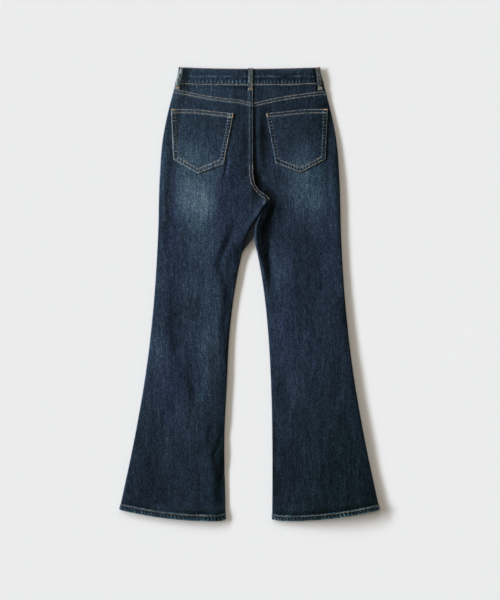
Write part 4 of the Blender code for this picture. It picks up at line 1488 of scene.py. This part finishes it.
def addStitches(name, material, rows):
    points, faces = [], []
    for first, last, normal, half, radius in rows:
        way = (last - first).normalized()
        across = normal.cross(way).normalized()
        normal = way.cross(across)
        middle = (first + last) / 2 + normal * stitch["above"] * mm
        turn = np.array([way * half, across * radius, normal * radius * stitch["flatness"]])
        start = len(points) * len(stitchPoints)
        points.append(stitchPoints @ turn + np.array(middle))
        faces += [[corner + start for corner in face] for face in stitchFaces]
    mesh = bpy.data.meshes.new(name)
    mesh.from_pydata(np.concatenate(points).tolist(), [], faces)
    mesh.shade_smooth()
    thread = bpy.data.objects.new(name, mesh)
    bpy.context.collection.objects.link(thread)
    mesh.materials.append(materials[material])
    threads.append(thread)


def barTack(surface, start, end, width=tack["width"]):
    # close short stitches across the line between two places
    length, way = lineFrom(start, end)
    rows = []
    for at in np.arange(tack["start"], length, tack["spacing"]):
        ends = [placeOn(start, way, at, -width / 2), placeOn(start, way, at + tack["slant"], width / 2)]
        rows += sewRow(surface, ends, pitch=width, length=width * tack["overLength"], radius=tack["radius"],
                       seed=int(at * 10))
    return rows


def placesAlong(start, end, line, step=12.0):
    # places on a line given as drop from x
    xs = np.linspace(start, end, max(3, int(abs(end - start) / step) + 1))
    return [(x, float(line(x))) for x in xs]


surfaces = {"band": surfaceOf(waistbandBack), "frontBand": surfaceOf(waistbandFront)}
for kind, pair in (("panel", backPanels), ("yoke", yokes), ("pocket", pockets), ("front", frontPanels)):
    for side, sideName in sideNames.items():
        surfaces[kind + sideName] = surfaceOf(pair[side])

# waistband, top and bottom
bandRows = [
    # thread, how far it runs to each side, its line, radius, seed
    ("threadBandTop", "brownThread", 155, lambda x: waistTop(x) + band["stitchIn"], 0.38, 1),
    ("threadBandBottom", "tanThread", 168.5, lambda x: bandLine(x) - band["stitchIn"], 0.54, 2),
]
for name, material, half, line, radius, seed in bandRows:
    rows = sewRow(surfaces["band"], placesAlong(-half, half, line), radius=radius, seed=seed)
    addStitches(name, material, rows)

# yokes, two rows each
for side, sideName in sideNames.items():
    start, end = (-178.5, 7.5) if side < 0 else (10.5, 178.5)
    rows = []
    for number, below in enumerate(yoke["stitchRows"]):
        rows += sewRow(surfaces["yoke" + sideName], placesAlong(start, end, lambda x: yokeSeam(x) + below),
                       radius=0.5 if side < 0 else 0.42, seed=3 + side + 3 * number)
    addStitches("threadYoke" + sideName, "tanThread", rows)

# seat seam, two rows, carried over the yoke and hooked down at the fork
seatRows = [
    # x, drop
    [(6.9, 93), (6.9, 160), (6.9, 224), (7.8, 246), (9.9, 261), (13.5, 272), (19.3, 280.3), (26.5, 287),
     (34.5, 292.3), (40.5, 297), (43.6, 301.5), (44.3, 306)],
    [(0, 93), (-0.1, 160), (-0.2, 224), (1.6, 253.5), (4, 264.5), (7.8, 272.5), (12.5, 280.5),
     (19.5, 288.8), (28, 296.2), (34.6, 300.9), (38.2, 305), (39, 309.5)],
]
straight, curved = [], []
for number, places in enumerate(seatRows):
    x = places[0][0]
    straight += sewRow(surfaces["yokeLeft"], [(x, 43), (x, 62), (x, 84)], seed=9 + number)
    straight += sewRow(surfaces["panelLeft"], places[:3], radius=0.36, seed=11 + number)
    curved += sewRow(surfaces["panelLeft"], places[2:], radius=0.41, seed=13 + number)
addStitches("threadSeat", "dullThread", straight)
addStitches("threadSeatCurve", "tanThread", curved)


def pocketRow(side, inset):
    # the four stretches down one side, round the tip and up the other
    (outerTop, _), (outerEnd, _) = pocket["outerEdge"]
    (innerTop, _), (innerEnd, _) = pocket["innerEdge"][side]
    tipX, tipDrop = pocket["tip"][side]
    outer = [(side * (pocketOuter(drop) - inset), drop)
             for drop in (outerTop + 1.4, outerEnd - 0.55 * inset)]
    inner = [(side * (pocketInner(side, drop) + inset), drop)
             for drop in (innerEnd - 0.9 * inset, innerTop + 1.4)]
    corners = [*outer, (side * tipX, tipDrop - 1.1 * inset), *inner]
    return list(zip(corners, corners[1:]))


# pockets: two rows round the edge and two along the top, with a bar tack at each upper corner
for side, sideName in sideNames.items():
    surface = surfaces["pocket" + sideName]
    outerRows, innerRows, tipRows, topRows, tacks = [], [], [], [], []
    for edgeRows, inset, radius, seed in ((outerRows, pocket["stitchRows"][0], 0.46, 20),
                                          (innerRows, pocket["stitchRows"][1], 0.44, 30)):
        for number, stretch in enumerate(pocketRow(side, inset)):
            made = sewRow(surface, stretch, radius=radius, seed=seed + number)
            (tipRows if number in (1, 2) else edgeRows).extend(made)
    for number, row in enumerate(pocket["hemRows"]):
        start, end = side * (pocketInner(side, 106) + 1.6), side * (pocketOuter(96) - 1.6)
        topRows += sewRow(surface, placesAlong(start, end, lambda x: pocketTop(x) + row),
                          radius=0.56 if side < 0 else 0.40, seed=40 + number)
    for cornerX, ends in ((side * pocketOuter(97), ((-1.2, 1.7), (-10.5, 1.7))),
                          (side * pocketInner(side, 107), ((1.6, 1.4), (3.2, 9.4)))):
        top = float(pocketTop(cornerX))
        tacks += barTack(surface, *((cornerX + side * away, top + below) for away, below in ends))
    addStitches("threadPocket" + sideName, "tanThread" if side < 0 else "dullThread", outerRows)
    addStitches("threadPocketTip" + sideName, "tanThread", tipRows)
    addStitches("threadPocketInner" + sideName, "dullThread", innerRows)
    addStitches("threadPocketTop" + sideName, "tanThread", topRows)
    addStitches("tackPocket" + sideName, "tackThread", tacks)

# hems, back and front
for side, sideName in sideNames.items():
    start, end = sorted((side * (58.5 if side < 0 else 54.5), side * 299.0))
    places = placesAlong(start, end, lambda x: hemLine(x) - hem["row"][side])
    rows = sewRow(surfaces["panel" + sideName], places, radius=0.5, seed=50 + side)
    addStitches("threadHem" + sideName, "brownThread", rows)
    rows = sewRow(surfaces["front" + sideName], places, fromAbove=False, seed=53 + side)
    addStitches("threadHemFront" + sideName, "tanThread", rows)

# front waistband, bottom and top, and front seam
rows = []
for seed, half, line in ((57, 166, lambda x: outline["bandHeight"] + frontDip(x) - front["bandRow"]),
                         (58, 152, lambda x: frontDip(x) + front["bandRow"])):
    rows += sewRow(surfaces["frontBand"], placesAlong(-half, half, line), fromAbove=False, seed=seed)
addStitches("threadBandFront", "tanThread", rows)
rows = []
for number, inset in enumerate(front["seamRows"]):
    places = [(float(innerX(1, drop, front=True)) + inset, drop) for drop in np.arange(56.0, 296, 8)]
    rows += sewRow(surfaces["frontRight"], places, fromAbove=False, seed=59 + number)
addStitches("threadFrontSeam", "tanThread", rows)

# belt loops: a row down each edge, and a bar tack across each end
rows, tacks = [], []
for name, row in beltLoops.items():
    surface = surfaceOf(loopPieces[name])
    length, way = lineFrom(row["top"], row["end"])
    for across in (loopCut["rowIn"] - loopCut["width"] / 2, loopCut["width"] / 2 - loopCut["rowIn"]):
        ends = [placeOn(row["top"], way, at, across) for at in (3, length - 5)]
        rows += sewRow(surface, ends, radius=0.46, seed=61)
    for at, width in ((1.0, 1.3), (length - 3.8, 1.9)):
        ends = [placeOn(row["top"], way, at, across) for across in (-4.4, 4.4)]
        tacks += barTack(surface, *ends, width=width)
addStitches("threadLoops", "brownThread", rows)
addStitches("tackLoops", "tackThread", tacks)
print("stitches made:", sum(len(thread.data.polygons) for thread in threads), "faces")


sheets = [
    # piece, its node, slot, cut (width, length) in metres, area in square metres, what it lies on
    (frontPanels[-1], "front_panel_left", "denim", (0.345, 1.045), 0.202, ["floor"]),
    (frontPanels[1], "front_panel_right", "denim", (0.345, 1.045), 0.199, ["floor"]),
    (waistbandFront, "waistband_front", "band_denim", (0.345, 0.084), 0.0285, ["floor"]),
    (backPanels[-1], "back_panel_left", "denim", (0.350, 1.000), 0.205, ["front_panel_left"]),
    (backPanels[1], "back_panel_right", "denim", (0.350, 1.000), 0.200, ["front_panel_right"]),
    (yokes[-1], "back_yoke_left", "denim", (0.195, 0.060), 0.0080, ["back_panel_left"]),
    (yokes[1], "back_yoke_right", "denim", (0.195, 0.060), 0.0080, ["back_panel_right"]),
    (waistbandBack, "waistband_back", "band_denim", (0.345, 0.084), 0.0285, ["waistband_front"]),
    (pockets[-1], "back_pocket_left", "pocket_denim", (0.143, 0.147), 0.0173, ["back_panel_left"]),
    (pockets[1], "back_pocket_right", "pocket_denim", (0.143, 0.147), 0.0173, ["back_panel_right"]),
    (loopPieces["left"], "belt_loop_left", "loop_denim", (0.0106, 0.060), 0.00063, ["waistband_back"]),
    (loopPieces["centre"], "belt_loop_center", "loop_denim", (0.0106, 0.060), 0.00063, ["waistband_back"]),
    (loopPieces["right"], "belt_loop_right", "loop_denim", (0.0106, 0.060), 0.00063, ["waistband_back"]),
]

for piece, node, slot, cut, area, below in sheets:
    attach(piece, "root")
    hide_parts(node)
for thread in threads:
    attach(thread, "root")
